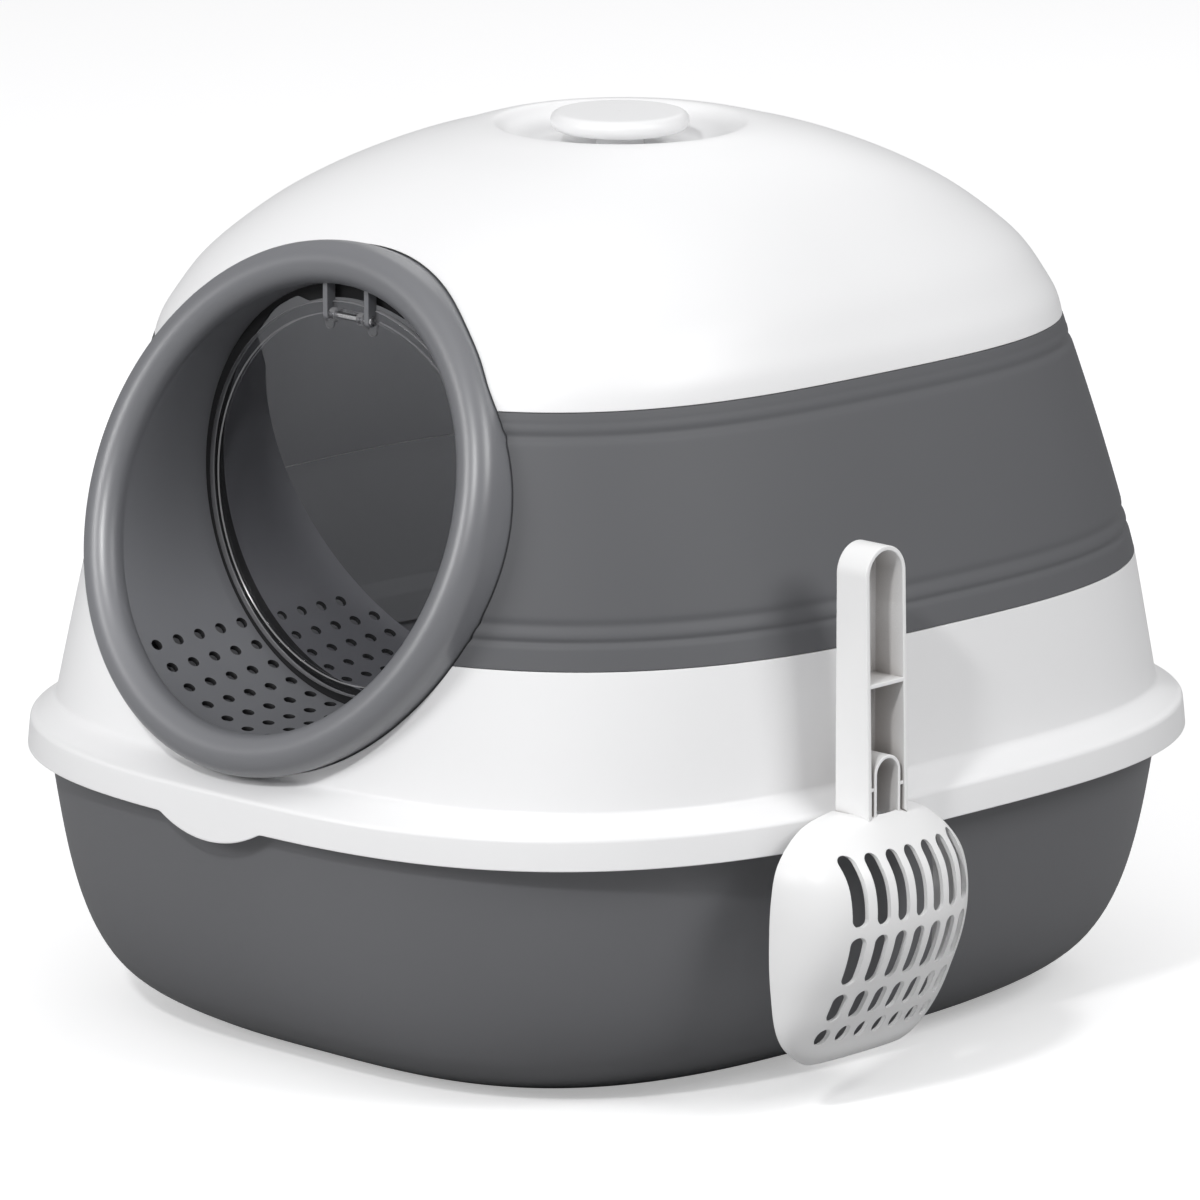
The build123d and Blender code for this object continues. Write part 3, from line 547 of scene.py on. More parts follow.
def tab_drop(x, y):
    u = np.abs(x - TAB_X)
    d = np.sqrt(np.maximum(TAB_R ** 2 - u ** 2, 0)) - (TAB_R - TAB_DROP)
    d = np.where((u < TAB_HALF + 2) & (y < 0), d, -9.0)
    # soft meeting of the tab's arc with the straight edge
    return 0.5 * (d + np.sqrt(d * d + 0.16))


wall0 = (150.0, 224.6, 240.1, 3.22, -0.6, K)
skirt = ease([((126.4, 239.9, 258.9, 2.91, 0, K), 0.5), ((126.4, 241.0, 260.0, 2.91, 0, K), 0.6),
              ((134.0, 240.35, 259.35, 2.91, 0, K), 0.0),
              ((140.9, 239.7, 258.7, 2.91, 0, K), 1.7), ((142.3, 236.5, 255.3, 2.95, -0.08, K), 1.2),
              ((147.9, 226.3, 241.8, 3.26, -0.9, K), 1.9), (wall0, 1.2)] +
             [((lerp(150.0, 212.9, f), lerp(224.6, 222.0, f), lerp(240.1, 232.05, f), lerp(3.22, 2.885, f),
                lerp(-0.6, 1.33, f), K), 0.0) for f in (0.08, 0.2, 0.35, 0.5, 0.65, 0.8, 0.92)] +
             [((212.9, 222.0, 232.05, 2.885, 1.33, K), 0.35), (less(RING_TOP, 1.35), 0.2),
              (less(band_row(217.0), 1.35), 0.0), (less(band_row(220.9), 1.35), 0.3), (less(band_row(220.9), 2.5), 0.3),
              (less(RING_TOP, 2.5), 0.0),
              ((190.0, 220.45, 232.5, 2.99, 0.6, K), 0.0), ((165.0, 221.5, 235.6, 3.13, -0.1, K), 0.0),
              ((150.0, 220.8, 237.0, 3.22, -0.6, K), 0.6), ((142.6, 218.2, 235.2, 3.08, -0.8, K), 0.8),
              ((128.0, 217.6, 234.4, 3.05, -0.8, K), 0.5), ((128.0, 219.8, 236.6, 3.05, -0.8, K), 0.5),
              ((142.0, 220.4, 237.4, 3.08, -0.8, K), 0.8), ((145.2, 224.6, 240.1, 3.26, -0.9, K), 0.8),
              ((142.8, 228.4, 247.0, 3.05, -0.4, K), 0.3), ((136.2, 228.4, 247.8, 3.0, -0.3, K), 0.3),
              ((136.2, 230.6, 250.0, 3.0, -0.3, K), 0.3), ((141.5, 231.0, 249.8, 3.0, -0.3, K), 0.3),
              ((139.3, 235.6, 254.4, 2.91, 0, K), 0.6), ((138.4, 237.6, 256.6, 2.91, 0, K), 0.8),
              ((134.0, 238.6, 257.6, 2.91, 0, K), 0.0)])
n_out = next(i for i, r in enumerate(skirt) if r[0] > 219) if True else 0
grid = np.array([section(r) for r in skirt])
# the finger tab pulls the skirt's lower edge down over a short arc
share = np.clip((134.0 - grid[:, :, 2]) / 7.6, 0, 1) * (np.array([r[1] for r in skirt]) > 236)[:, None]
drop = tab_drop(grid[:, :, 0], grid[:, :, 1]) * share
grid[:, :, 2] -= drop
grid[:, :, 1] -= drop * 0.09 * (grid[:, :, 1] < 0)
v, f = sweep(grid, closed=True)
cols = len(FR)
level = np.array([r[0] for r in skirt])
half = np.array([r[1] for r in skirt])
row_of = np.repeat(np.arange(len(skirt)), cols)
inner_row = (half < 221.6) | ((level > 215) & (half < 220.5)) | ((level > 127) & (level < 146.0) & (half < 237.9) & (half < 226.0))
pick = inner_row[row_of] & (row_of > np.argmax(level))
ring = raw("base_ring_shell", (v, f), pick.astype(int), [white, inside])

WALL_RX, WALL_RZ, OPEN_GAP = 126.6, 118.97, 1.0
ENTRY_Z = 268.3


def wall_share(t):
    """Size of the entry's wall where it meets the hood, against its size at the nose; t is 0 at its top."""
    d = np.degrees(np.abs((t + math.pi) % TAU - math.pi))
    u, w = np.clip(d / 50.0, 0, 1), np.clip((d - 60.0) / 40.0, 0, 1)
    return 1.0 - 0.025 * (1 - u * u * (3 - 2 * u)) - 0.0105 * (1 - w * w * (3 - 2 * w))


def opening():
    t = np.linspace(0, TAU, 360, endpoint=False)
    s = wall_share(t)
    g = np.array([np.stack([(WALL_RX * s + OPEN_GAP) * np.sin(t), np.full(360, y),
                            ENTRY_Z + (WALL_RZ * s + OPEN_GAP) * np.cos(t)], 1) for y in (-330.0, -88.0)])
    v, f = sweep(g)
    f += [list(range(360))[::-1], [360 + i for i in range(360)]]
    ob = raw("tool_opening", (v, f))
    bm = bmesh.new()
    bm.from_mesh(ob.data)
    bmesh.ops.recalc_face_normals(bm, faces=bm.faces)
    bm.to_mesh(ob.data)
    bm.free()
    return ob


ring, nrm = carve(ring, ("cut", opening()))
done(ring, "hood_body", [white, inside], ("hood_base_ring",), nrm)

# --------------------------------------------------------------------- band


def crease(z):
    out = 0.0
    for c, w, d in ((225.6, 1.5, 0.85), (233.0, 2.3, 0.75), (315.4, 2.0, 0.8), (321.2, 1.2, 0.12)):
        out += d * math.exp(-((z - c) / w) ** 2)
    return out


zs = sorted(set([round(z, 2) for z in np.concatenate([np.arange(213.6, 240, 0.55), np.arange(240, 308, 5.0),
                                                       np.arange(308, 325.6, 0.6)])]))
band_ctl = [((212.9 + SEAM, 221.9, 231.95, 2.885, 1.33, K), 0.45)] + [(band_row(z, crease(z)), 0.0) for z in zs] + \
    [(band_row(326.2 - SEAM), 0.45), (less(band_row(326.2 - SEAM), 1.05), 0.2), (less(band_row(317.7), 1.05), 0.2),
     (less(band_row(317.7), 2.5), 0.2)] + \
    [(less(band_row(z), 2.5), 0.0) for z in (300, 285, 270, 255, 240)] + \
    [(less(band_row(221.4), 2.5), 0.2), (less(band_row(221.4), 1.05), 0.2), (less(band_row(212.9 + SEAM), 1.05), 0.2)]
band_rows = ease(band_ctl)
pick = np.repeat([r[1] < band_row(r[0])[1] - 0.9 for r in band_rows], cols).astype(int)
band = raw("fold_band_shell", sweep(np.array([section(r) for r in band_rows]), closed=True), pick, [soft, inside])
band, nrm = carve(band, ("cut", opening()))
done(band, "hood_body", [soft, inside], ("fold_band",), nrm)

# --------------------------------------------------------------------- dome
DOME_S = [(0.0, 1.0), (0.05, 0.9945), (0.1, 0.988), (0.2, 0.966), (0.35, 0.927), (0.5, 0.864), (0.575, 0.825),
          (0.65, 0.780), (0.725, 0.724), (0.8, 0.656), (0.85, 0.602), (0.9, 0.540), (0.93, 0.496), (0.96, 0.442)]
dome_ctl = [(326.2 + 93.8 * u, 180.2 * s, 205.5 * s * (1 - 0.063 * u * u), 3.04 - 0.745 * u ** 1.5,
             lerp(2.67, 13.77, u), K * (1 - u)) for u, s in DOME_S]
dome_ctl += [(419.3, 70.5, 73.5, 2.12, 13.8, 0.0), (420.55, 65.2, 66.4, 2.03, 13.8, 0.0), (420.95, 62.3, 62.5, 2.0, 13.8, 0.0)]
dome_out = smooth(dome_ctl, 3.0)


def disc(z, r):
    return (z, r, r, 2.0, 13.8, 0.0)


dish = smooth([disc(420.75, 60.6), disc(420.0, 58.7), disc(418.2, 56.3), disc(414.8, 51.3), disc(411.5, 45.8), disc(410.15, 41.5),
               disc(410.0, 39.0)], 1.2)
under = [disc(407.5, 2.7), disc(407.5, 20.0), disc(407.5, 38.0)] + \
    smooth([disc(407.6, 41.5), disc(409.6, 47.6), disc(413.2, 53.0), disc(416.2, 59.5), disc(417.3, 64.0)], 3.0)
dome_in = [r for r in inset(dome_out, WALL) if r[1] > 71.0 and r[0] > 327.0]
rows = ease([((326.2 + 0.0, 180.15, 205.45, 3.04, 2.67, K), 0.45)] + [(r, 0.0) for r in dome_out[1:]] + [(r, 0.0) for r in dish] +
            [(disc(410.0, 25.0), 0.0), (disc(410.0, 8.0), 0.0), (disc(410.0, 2.7), 0.0)] + [(r, 0.0) for r in under] +
            [(r, 0.0) for r in dome_in[::-1]] +
            [(less(band_row(318.2), 2.5), 0.2), (less(band_row(318.2), 1.35), 0.2), (less(band_row(326.2), 1.35), 0.2)])
n_dome_out = len(dome_out) + 6
level_i = np.arange(len(rows))
last_outer = max(i for i, r in enumerate(rows) if abs(r[0] - 410.0) < 0.01)
grid = np.array([section(r) for r in rows])
v, f = sweep(grid, closed=True)
row_of = np.repeat(np.arange(len(rows)), cols)
pick = (row_of >= last_outer).astype(int)
dome = raw("hood_dome_shell", (v, f), pick, [white, inside])
dome, nrm = carve(dome, ("cut", opening()))
done(dome, "hood_body", [white, inside], ("hood_dome",), nrm)

# ------------------------------------------------------------ entry, front
BEZEL_Y, BEZEL_R, TUBE = -209.7, 116.6, 10.0
TILT = math.radians(20.0)
ST, CT = math.sin(TILT), math.cos(TILT)
SLEEVE_Z, SLEEVE_R, SLEEVE_END, SLOPE = 266.0, 101.0, -158.0, 0.0433
NT = 288
T = np.linspace(0, TAU, NT, endpoint=False)
SINT, COST = np.sin(T), np.cos(T)
E_R = np.stack([SINT, COST * ST, COST * CT], 1)
E_N = np.array([0.0, -CT, ST])
CENTRE = np.array([0.0, BEZEL_Y, ENTRY_Z])


def bead(phi, tube=TUBE):
    """Points of the bullnose at phi (one for each column), 0 outside and 180 inside."""
    p = np.radians(phi) * np.ones(NT)
    return CENTRE + E_R * (BEZEL_R + tube * np.cos(p))[:, None] + E_N * (tube * np.sin(p))[:, None]


def bead_slope(phi):
    p = np.radians(phi) * np.ones(NT)
    return -E_R * np.sin(p)[:, None] + E_N * np.cos(p)[:, None]


flare = np.zeros(NT)


def sleeve(y, out=0.0):
    r = SLEEVE_R + (SLEEVE_END - y) * (SLOPE + flare) + out
    return np.stack([r * SINT, y * np.ones(NT), SLEEVE_Z + r * COST], 1)


def sleeve_at(depth, out=0.0):
    z = SLEEVE_Z + 102.0 * COST
    for _ in range(6):
        y = BEZEL_Y + (z - ENTRY_Z) * math.tan(TILT) + depth / CT
        z = SLEEVE_Z + (SLEEVE_R + (SLEEVE_END - y) * (SLOPE + flare) + out) * COST
    return sleeve(y, out)


def shade_paint_tool(name, shape):
    """A cutting tool that leaves the walls of its cuts in the second material, a near-black painted shade."""
    return raw(name, shape, np.ones(len(shape[1]), int), [grey, painted_shade])


phi_w = np.degrees(np.arctan(math.tan(TILT) * COST))
phi_e = 180.0 - 20.0 * COST * 1.0
phi_e = np.where(COST < 0, 180.0 - 24.0 * COST, 180.0 + 15.0 * COST)
nose_in = bead(phi_e)
flare = np.hypot(nose_in[:, 0], nose_in[:, 2] - SLEEVE_Z) - (SLEEVE_R + (SLEEVE_END - nose_in[:, 1]) * SLOPE)
flare = 0.5 * (flare + np.sqrt(flare ** 2 + 0.25)) / (SLEEVE_END - nose_in[:, 1])
start = bead(phi_w)
hood_rows = np.array([wall0] + [(lerp(150.0, 212.9, f), lerp(224.6, 222.0, f), lerp(240.1, 232.05, f), lerp(3.22, 2.885, f),
                                 lerp(-0.6, 1.33, f), K) for f in (0.25, 0.5, 0.75)] +
                     [band_row(z) for z in np.linspace(212.9, 326.2, 12)] + dome_out[1:])
hood_rows = hood_rows[hood_rows[:, 0] < 400.0]


def hood_front(x, z):
    """Y of the hood's outer face at x and z."""
    a, b, n, yc, k = (np.interp(z, hood_rows[:, 0], hood_rows[:, i]) for i in range(1, 6))
    lo, hi = -np.ones(len(x)), -0.2 * np.ones(len(x))
    for _ in range(40):
        w = (lo + hi) / 2
        out = a * np.maximum(1 - np.abs(w) ** n, 0) ** (1 / n) * (1 + k * w) < np.abs(x)
        lo, hi = np.where(out, w, lo), np.where(out, hi, w)
    return yc + b * w


SHARE = wall_share(T)


def wall_at(y, less=0.0):
    return np.stack([(WALL_RX * SHARE - less) * SINT, y, ENTRY_Z + (WALL_RZ * SHARE - less) * COST], 1)


meet_y = hood_front(WALL_RX * SHARE * SINT, ENTRY_Z + WALL_RZ * SHARE * COST) + 1.0
meet_y = np.maximum(meet_y, start[:, 1] + 1.5)
rear_y = np.maximum(-222.0 + 0.4354 * (start[:, 2] - 149.0), meet_y + 8.0)
rows = [wall_at(rear_y, 0.6), wall_at(rear_y - 0.6), wall_at(lerp(rear_y, meet_y, 0.5)), wall_at(meet_y + 1.0)]
for f in (0.94, 0.82, 0.7, 0.58, 0.45, 0.32, 0.18, 0.07):
    p = lerp(start, wall_at(meet_y), f * f)
    p[:, 1] = lerp(start[:, 1], meet_y, f)
    rows.append(p)
NB = 30
for i in range(NB + 1):
    rows.append(bead(phi_w + (phi_e - phi_w) * i / NB))
JOIN = 3.6
end0, end1 = bead(phi_e), sleeve_at(JOIN)
d0 = bead_slope(phi_e)
d1 = sleeve_at(JOIN + 1.0) - end1
d1 /= np.linalg.norm(d1, axis=1)[:, None]
gap = np.linalg.norm(end1 - end0, axis=1)[:, None]
for i in range(1, 9):
    u = i / 9
    h00, h10, h01, h11 = 2 * u ** 3 - 3 * u * u + 1, u ** 3 - 2 * u * u + u, -2 * u ** 3 + 3 * u * u, u ** 3 - u * u
    rows.append(end0 * h00 + d0 * gap * h10 * 0.9 + end1 * h01 + d1 * gap * h11 * 0.9)
y0 = end1[:, 1]
for i in range(0, 20):
    rows.append(sleeve(lerp(y0, SLEEVE_END - 0.5, i / 19)))
gap_to = len(rows) + 3
rows.append(sleeve(SLEEVE_END * np.ones(NT), 0.5))
rows.append(sleeve(SLEEVE_END * np.ones(NT), 1.7))
rows.append(sleeve((SLEEVE_END - 0.5) * np.ones(NT), 2.2))
back = sleeve_at(7.0, 2.2)
rows.append(sleeve(lerp(back[:, 1], SLEEVE_END, 0.5), 2.2))
rows.append(back)
inner = wall_at(rear_y, 2.5)
mid = lerp(back, inner, 0.5)
mid[:, 1] = BEZEL_Y + (mid[:, 2] - ENTRY_Z) * math.tan(TILT) + 2.0
rows.append(mid)
p = lerp(start, inner, 1.0)
p[:, 1] = BEZEL_Y + (p[:, 2] - ENTRY_Z) * math.tan(TILT) + 2.5
p[:, 1] = np.minimum(p[:, 1], rear_y - 3.0)
rows.append(p)
rows.append(wall_at(lerp(p[:, 1], rear_y, 0.6), 2.5))
rows.append(inner)
grid = np.array(rows)
pick = np.zeros((len(rows), NT), int)
# the last rows of the sleeve, next to the flap, are coloured near-black as painted shade
pick[gap_to - 4:gap_to] = 1
front = raw("entry_front_shell", sweep(grid, closed=True, flip=True), pick.ravel(), [grey, painted_shade])
pegs = []
for y in (-224.0, -210.5, -197.0, -183.5, -170.0):
    for i in range(-6, 7):
        al = math.radians(7.6 * i)
        d = (math.sin(al), 0, -math.cos(al))
        r = SLEEVE_R + (SLEEVE_END - y) * SLOPE
        o = (d[0] * (r - 4), y, SLEEVE_Z + d[2] * (r - 4))
        pegs.append(peg(o, d, [(0, 3.1), (3.85, 3.05), (4.15, 2.75), (4.6, 2.52), (6.1, 2.5), (11, 2.5)], 28))
# the drip holes' walls come out near-black as painted shade
front, nrm = carve(front, ("cut", shade_paint_tool("tool_pegs", merge(*pegs))))
done(front, "hood_body", [grey, painted_shade], ("entry_tunnel_front",), nrm)

# the two ears that carry the hinge pin
for sx, tag in ((-1, "left"), (1, "right")):
    x0 = sx * 13.5 - 1.5
    out = arc(-168.8, 352.2, 2.8, 180, 360, 14)
    pts = [(-171.6, 369.0)] + [(-171.6, 352.2)] + out[1:-1] + [(-166.0, 352.2), (-166.0, 369.0)]
    done(raw("hinge_ear_" + tag, prism(pts, "x", x0, x0 + 3.0, 0.35)), "hood_body", grey)

# ------------------------------------------------------------- entry, rear
RZ = 267.9
EDGE = [(150, -72.3), (180, -84), (210, -95.7), (240, -107.4), (265, -117.2), (290, -127), (312, -136), (322, -144.5),
        (329, -151.5), (333, -155.6), (400, -155.6)]
zz = RZ + 99.0 * COST
ye = np.interp(zz, [e[0] for e in EDGE], [e[1] for e in EDGE])


def tunnel(y, out):
    r = 99.6 + (98.4 - 99.6) * (y + 157.9) / 87.9 + out
    return np.stack([r * SINT, y * np.ones(NT), RZ + r * COST], 1)


rows = [tunnel(-157.9 * np.ones(NT), 0.4), tunnel(-157.5 * np.ones(NT), 0.0)]
for i in range(1, 14):
    rows.append(tunnel(lerp(-157.5, ye - 0.4, i / 13), 0.0))
rows += [tunnel(ye, 0.4), tunnel(ye, 1.6), tunnel(ye - 0.4, 2.0), tunnel(lerp(-155.9, ye, 0.5), 2.0), tunnel(-155.9 * np.ones(NT) + 0.01, 2.0)]
for r, y in ((105.3, -155.9), (105.6, -156.2), (105.6, -157.6), (105.3, -157.9)):
    rows.append(np.stack([r * SINT, y * np.ones(NT), 266.6 + r * COST], 1))
pick = np.zeros((len(rows), NT), int)
# the rear tunnel's front rows are coloured near-black as painted shade
pick[:2] = 1
pick[-5:] = 1
rear = raw("entry_rear_shell", sweep(np.array(rows), closed=True, flip=True), pick.ravel(), [grey, painted_shade])
pegs = []
for y in (-147.5, -134.5, -121.5, -108.5, -95.5):
    for i in range(-6, 7):
        al = math.radians(7.2 * i)
        d = (math.sin(al), 0, -math.cos(al))
        zf = RZ - 99 * math.cos(al)
        if y > -84 - .39 * (zf - 180) - 7:
            continue
        o = (d[0] * 95.0, y, RZ + d[2] * 95.0)
        pegs.append(peg(o, d, [(0, 3.1), (3.9, 3.0), (4.3, 2.7), (4.7, 2.52), (6.2, 2.5), (11, 2.5)], 24))
# the drip holes' walls come out near-black as painted shade
rear, nrm = carve(rear, ("cut", shade_paint_tool("tool_pegs2", merge(*pegs))))
done(rear, "hood_body", [grey, painted_shade], ("entry_tunnel_rear",), nrm)

# -------------------------------------------------------------------- flap
FZ = 265.0
# seat ring between the sleeve and the rear tunnel, just behind the flap's rim, coloured near-black as painted shade
from_top = np.degrees(np.minimum(T, TAU - T))
inner = np.interp(from_top, [0, 19, 23, 34, 37, 41, 46, 60, 80, 180], [95.3, 95.4, 99.6, 99.6, 98.2, 97.1, 96.6, 96.0, 95.6, 95.5])
seat = []
for r, y, zc in ((inner + 0.2, -164.6, FZ), (inner, -164.4, FZ), (inner, -163.4, FZ), (101.1, -163.2, SLEEVE_Z), (101.25, -164.6, SLEEVE_Z)):
    seat.append(np.stack([r * SINT, np.full(NT, y), zc + r * COST], 1))
seat = raw("flap_seat_ring", sweep(np.array(seat), closed=True))
bm = bmesh.new()
bm.from_mesh(seat.data)
bmesh.ops.recalc_face_normals(bm, faces=bm.faces)
bm.to_mesh(seat.data)
bm.free()
done(seat, "hood_body", painted_shade)

prof = ease([((1.0, -168.3), 0), ((40.0, -168.3), 0), ((88.3, -168.3), 0.5), ((89.0, -169.1), 0.35), ((94.5, -169.1), 0.9),
             ((94.5, -165.9), 0.9), ((89.0, -165.9), 0.35), ((88.3, -166.7), 0.5), ((40.0, -166.7), 0), ((1.0, -166.7), 0)],
            closed=False, seg=3)
flap = raw("entry_flap_sheet", turned(prof, 300, 0, FZ, "y", first=(0, -168.3, FZ), last=(0, -166.7, FZ)))
steps = []
tools = []
for sx in (-1, 1):
    c = sx * 13.9
    pts = arc(c, 348.0, 3.0, 180, 360, 14) + [(c + 3.0 + 1.2, 372.0), (c - 3.0 - 1.2, 372.0)]
    if sx < 0:
        pts = arc(c, 348.0, 3.0, 180, 360, 14) + [(c + 3.0, 372.0), (c - 3.4, 372.0)]
    else:
        pts = arc(c, 348.0, 3.0, 180, 360, 14) + [(c + 3.4, 372.0), (c - 3.0, 372.0)]
    tools.append(prism(pts, "y", -176.0, -158.0))
tools.append(block(-7.3, 7.3, -176.0, -158.0, 350.6, 355.0, 0.6))
steps.append(("cut", raw("tool_notch", merge(*tools))))
for x0, x1 in ((-10.9, -7.3), (7.3, 10.9)):
    knuckle = turned(ease([((1.55, x0), 0.25), ((3.3, x0), 0.5), ((3.3, x1), 0.5), ((1.55, x1), 0.25)]), 48, -169.0, 352.6, "x", closed=True)
    steps.append(("join", raw("tool_knuckle", knuckle)))
for ob in (s[1] for s in steps):
    bm = bmesh.new()
    bm.from_mesh(ob.data)
    bmesh.ops.recalc_face_normals(bm, faces=bm.faces)
    bm.to_mesh(ob.data)
    bm.free()
bm = bmesh.new()
bm.from_mesh(flap.data)
bmesh.ops.recalc_face_normals(bm, faces=bm.faces)
bm.to_mesh(flap.data)
bm.free()
flap, nrm = carve(flap, *steps)
# the flap's rim faces take the lighter clear colour as a painted edge glow
for f in flap.data.polygons:
    f.material_index = 1 if abs(f.normal.y) < 0.85 else 0
done(flap, "flap_body", [clear, clear_edge], ("entry_flap",), nrm)

# -------------------------------------------------------------------- knob
prof = [(2.05, 424.1), (8.0, 425.95), (20.0, 425.88), (27.0, 425.86)]
for i in range(0, 17):
    t = math.radians(90 - 11.25 * i)
    prof.append((33.3 - 4.35 + 4.35 * math.cos(t), 425.85 - 4.35 + 4.35 * math.sin(t)))
prof += [(26.0, 417.2), (20.0, 417.2), (14.0, 417.2)] + arc(14.0, 414.7, 2.5, 90, 180, 6)[1:] + [(11.5, 410.0), (2.05, 410.0)]
prof = [(0.5, 425.89), (8.0, 425.89)] + prof[2:] + [(2.05, 424.0), (0.5, 424.0)]
knob = raw("carry_knob_body", turned(prof, 160, 0, 13.8, "z", closed=True))
bm = bmesh.new()
bm.from_mesh(knob.data)
bmesh.ops.holes_fill(bm, edges=[e for e in bm.edges if len(e.link_faces) == 1])
bmesh.ops.recalc_face_normals(bm, faces=bm.faces)
bm.to_mesh(knob.data)
bm.free()
done(knob, "hood_body", white, ("carry_knob",), split=40)

# ------------------------------------------------------------------- scoop
SY, BX = -79.6, 236.5
BOWL = [(26.6, 33.0, 4.2), (28.8, 37.5, 7.0), (32.5, 42.6, 9.9), (37.5, 48.0, 12.5), (44.2, 52.2, 16.7), (52.1, 54.6, 22.0),
        (63.3, 56.2, 28.4), (70.3, 57.0, 32.2), (82.0, 57.6, 37.6), (94.1, 57.5, 41.1), (104.0, 57.0, 42.1),
        (112.0, 56.0, 41.6), (120.0, 54.3, 39.4), (126.9, 50.9, 35.2), (131.0, 47.5, 32.2), (135.5, 42.5, 28.6),
        (139.4, 36.2, 25.2), (142.4, 25.6, 22.2), (144.0, 14.5, 20.5)]
bp = np.array(BOWL)
bt = np.concatenate([[0.0], np.cumsum(np.sqrt((np.diff(bp, axis=0) ** 2).sum(1)))])
NR = 76
bowl_rows = cubic(bt, bp, np.linspace(0, bt[-1], NR))
NM = 104


def bowl_arc(z, hw, d, back):
    t = np.linspace(0, math.pi, 2001)
    c, s = np.cos(t), np.abs(np.sin(t))
    y = hw * np.sign(c) * np.abs(c) ** (2 / 2.5)
    x = d * s ** (2 / 2.5)
    if back:
        y = np.concatenate([[y[0]], y, [y[-1]]])
        x = np.concatenate([[-back], x, [-back]])
    run = np.concatenate([[0.0], np.cumsum(np.hypot(np.diff(x), np.diff(y)))])
    q = np.linspace(0, run[-1], NM)
    return np.stack([BX + np.interp(q, run, x), SY + np.interp(q, run, y), np.full(NM, z)], 1)


WT = 2.0
inner_rows = []
for i, (z, hw, d) in enumerate(bowl_rows):
    lo, hi = bowl_rows[max(i - 1, 0)], bowl_rows[min(i + 1, NR - 1)]
    dz, dh, dd = hi[0] - lo[0], hi[1] - lo[1], hi[2] - lo[2]
    ln, lh = math.hypot(dz, dd), math.hypot(dz, dh)
    inner_rows.append((min(max(z + WT * dd / ln, 28.3 + i * 0.05), 141.9), max(hw - WT * dz / lh - 0.4, 8.0), max(d - WT * dz / ln, 1.2)))
inner_rows = np.array(inner_rows)
inner_rows[:, 0] = np.maximum.accumulate(inner_rows[:, 0])
loops = []
for o, n_ in zip(bowl_rows, inner_rows):
    a_, b_ = bowl_arc(*o, 0.0), bowl_arc(*n_, 0.0)
    # the rim between outside and inside is not rounded: rim() below is not called
    def rim(p, q):
        m_ = (p + q) / 2
        m_[0] -= 0.0
        return m_
    loops.append(np.concatenate([a_, b_[::-1]]))
g = np.array(loops)
v, f = sweep(g)
f += [[j, NM * 2 - 1 - j, NM * 2 - 2 - j, j + 1] for j in range(NM - 1)]
o = (NR - 1) * NM * 2
f += [[o + j, o + j + 1, o + NM * 2 - 2 - j, o + NM * 2 - 1 - j] for j in range(NM - 1)]


def outward(ob):
    bm = bmesh.new()
    bm.from_mesh(ob.data)
    bmesh.ops.remove_doubles(bm, verts=bm.verts, dist=1e-4)
    bmesh.ops.recalc_face_normals(bm, faces=bm.faces)
    bm.to_mesh(ob.data)
    bm.free()
    return ob


bowl = outward(raw("scoop_body_shell", (v, f)))


def stadium(h, zc, z0, x, lean=0.0):
    """Open outline up one side, over the top and down the other."""
    up = [(-h, lerp(z0, zc, i / 14)) for i in range(14)]
    over = [(-h * math.cos(math.pi * i / 36), zc + h * math.sin(math.pi * i / 36)) for i in range(37)]
    down = [(h, lerp(zc, z0, (i + 1) / 14)) for i in range(14)]
    return np.array([(x - lean * np.clip((z - 150.0) / 118.0, 0, 1), SY + y, z) for y, z in up + over + down])


HW, ZC = 13.5, 255.3
prof = ease([((236.8, HW - 1.0), 0), ((236.8, HW), 0.7), ((257.6, HW), 0.75), ((257.6, HW - 2.3), 0.6), ((238.8, HW - 2.45), 0.9),
             ((238.8, HW - 4.0), 0)], closed=False)
g = np.array([stadium(h, ZC, 141.5 + (HW - h) * 0.9, x, 2.7 * (x - 236.8) / 20.8) for x, h in prof])
v, f = sweep(g, wrap=False)
m_ = g.shape[1]
f.append(list(range(m_))[::-1])
f.append([(len(prof) - 1) * m_ + j for j in range(m_)])
f.append([i * m_ for i in range(len(prof))])
f.append([i * m_ + m_ - 1 for i in range(len(prof))][::-1])
f.append([0, m_ - 1, (len(prof) - 1) * m_ + m_ - 1, (len(prof) - 1) * m_])
# the feet of the channel's wall close against each other
bm = bmesh.new()
vs = [bm.verts.new(p) for p in v]
for face in f[:-3]:
    try:
        bm.faces.new([vs[i] for i in face])
    except ValueError:
        pass
bmesh.ops.holes_fill(bm, edges=[e for e in bm.edges if len(e.link_faces) == 1])
bmesh.ops.recalc_face_normals(bm, faces=bm.faces)
bm.verts.index_update()
handle = raw("tool_handle", ([tuple(x.co) for x in bm.verts], [[x.index for x in q.verts] for q in bm.faces]))
bm.free()

prof = ease([((237.6, 8.9), 0), ((257.0, 8.9), 0.5), ((257.0, 7.2), 0.5), ((237.6, 7.2), 0)])
g = np.array([stadium(h, 162.2, 141.0, x) for x, h in prof])
v, f = sweep(g, closed=True, wrap=False)
m_ = g.shape[1]
f.append([i * m_ for i in range(len(prof))])
f.append([i * m_ + m_ - 1 for i in range(len(prof))][::-1])
arch = outward(raw("tool_arch", (v, f)))
rib = outward(raw("tool_rib", block(237.8, 256.2, SY - HW + 1.2, SY + HW - 1.2, 203.6, 205.6, 0.4)))
web1 = outward(raw("tool_web1", block(252.6, 256.5, SY - HW + 1.2, SY - 8.2, 155.2, 157.0, 0.4)))
web2 = outward(raw("tool_web2", block(252.6, 256.5, SY + 8.2, SY + HW - 1.2, 155.2, 157.0, 0.4)))
catch = outward(raw("tool_catch", block(236.7, 238.7, SY - 11, SY + 11, 137.4, 143.0, 0.4)))
tools = []
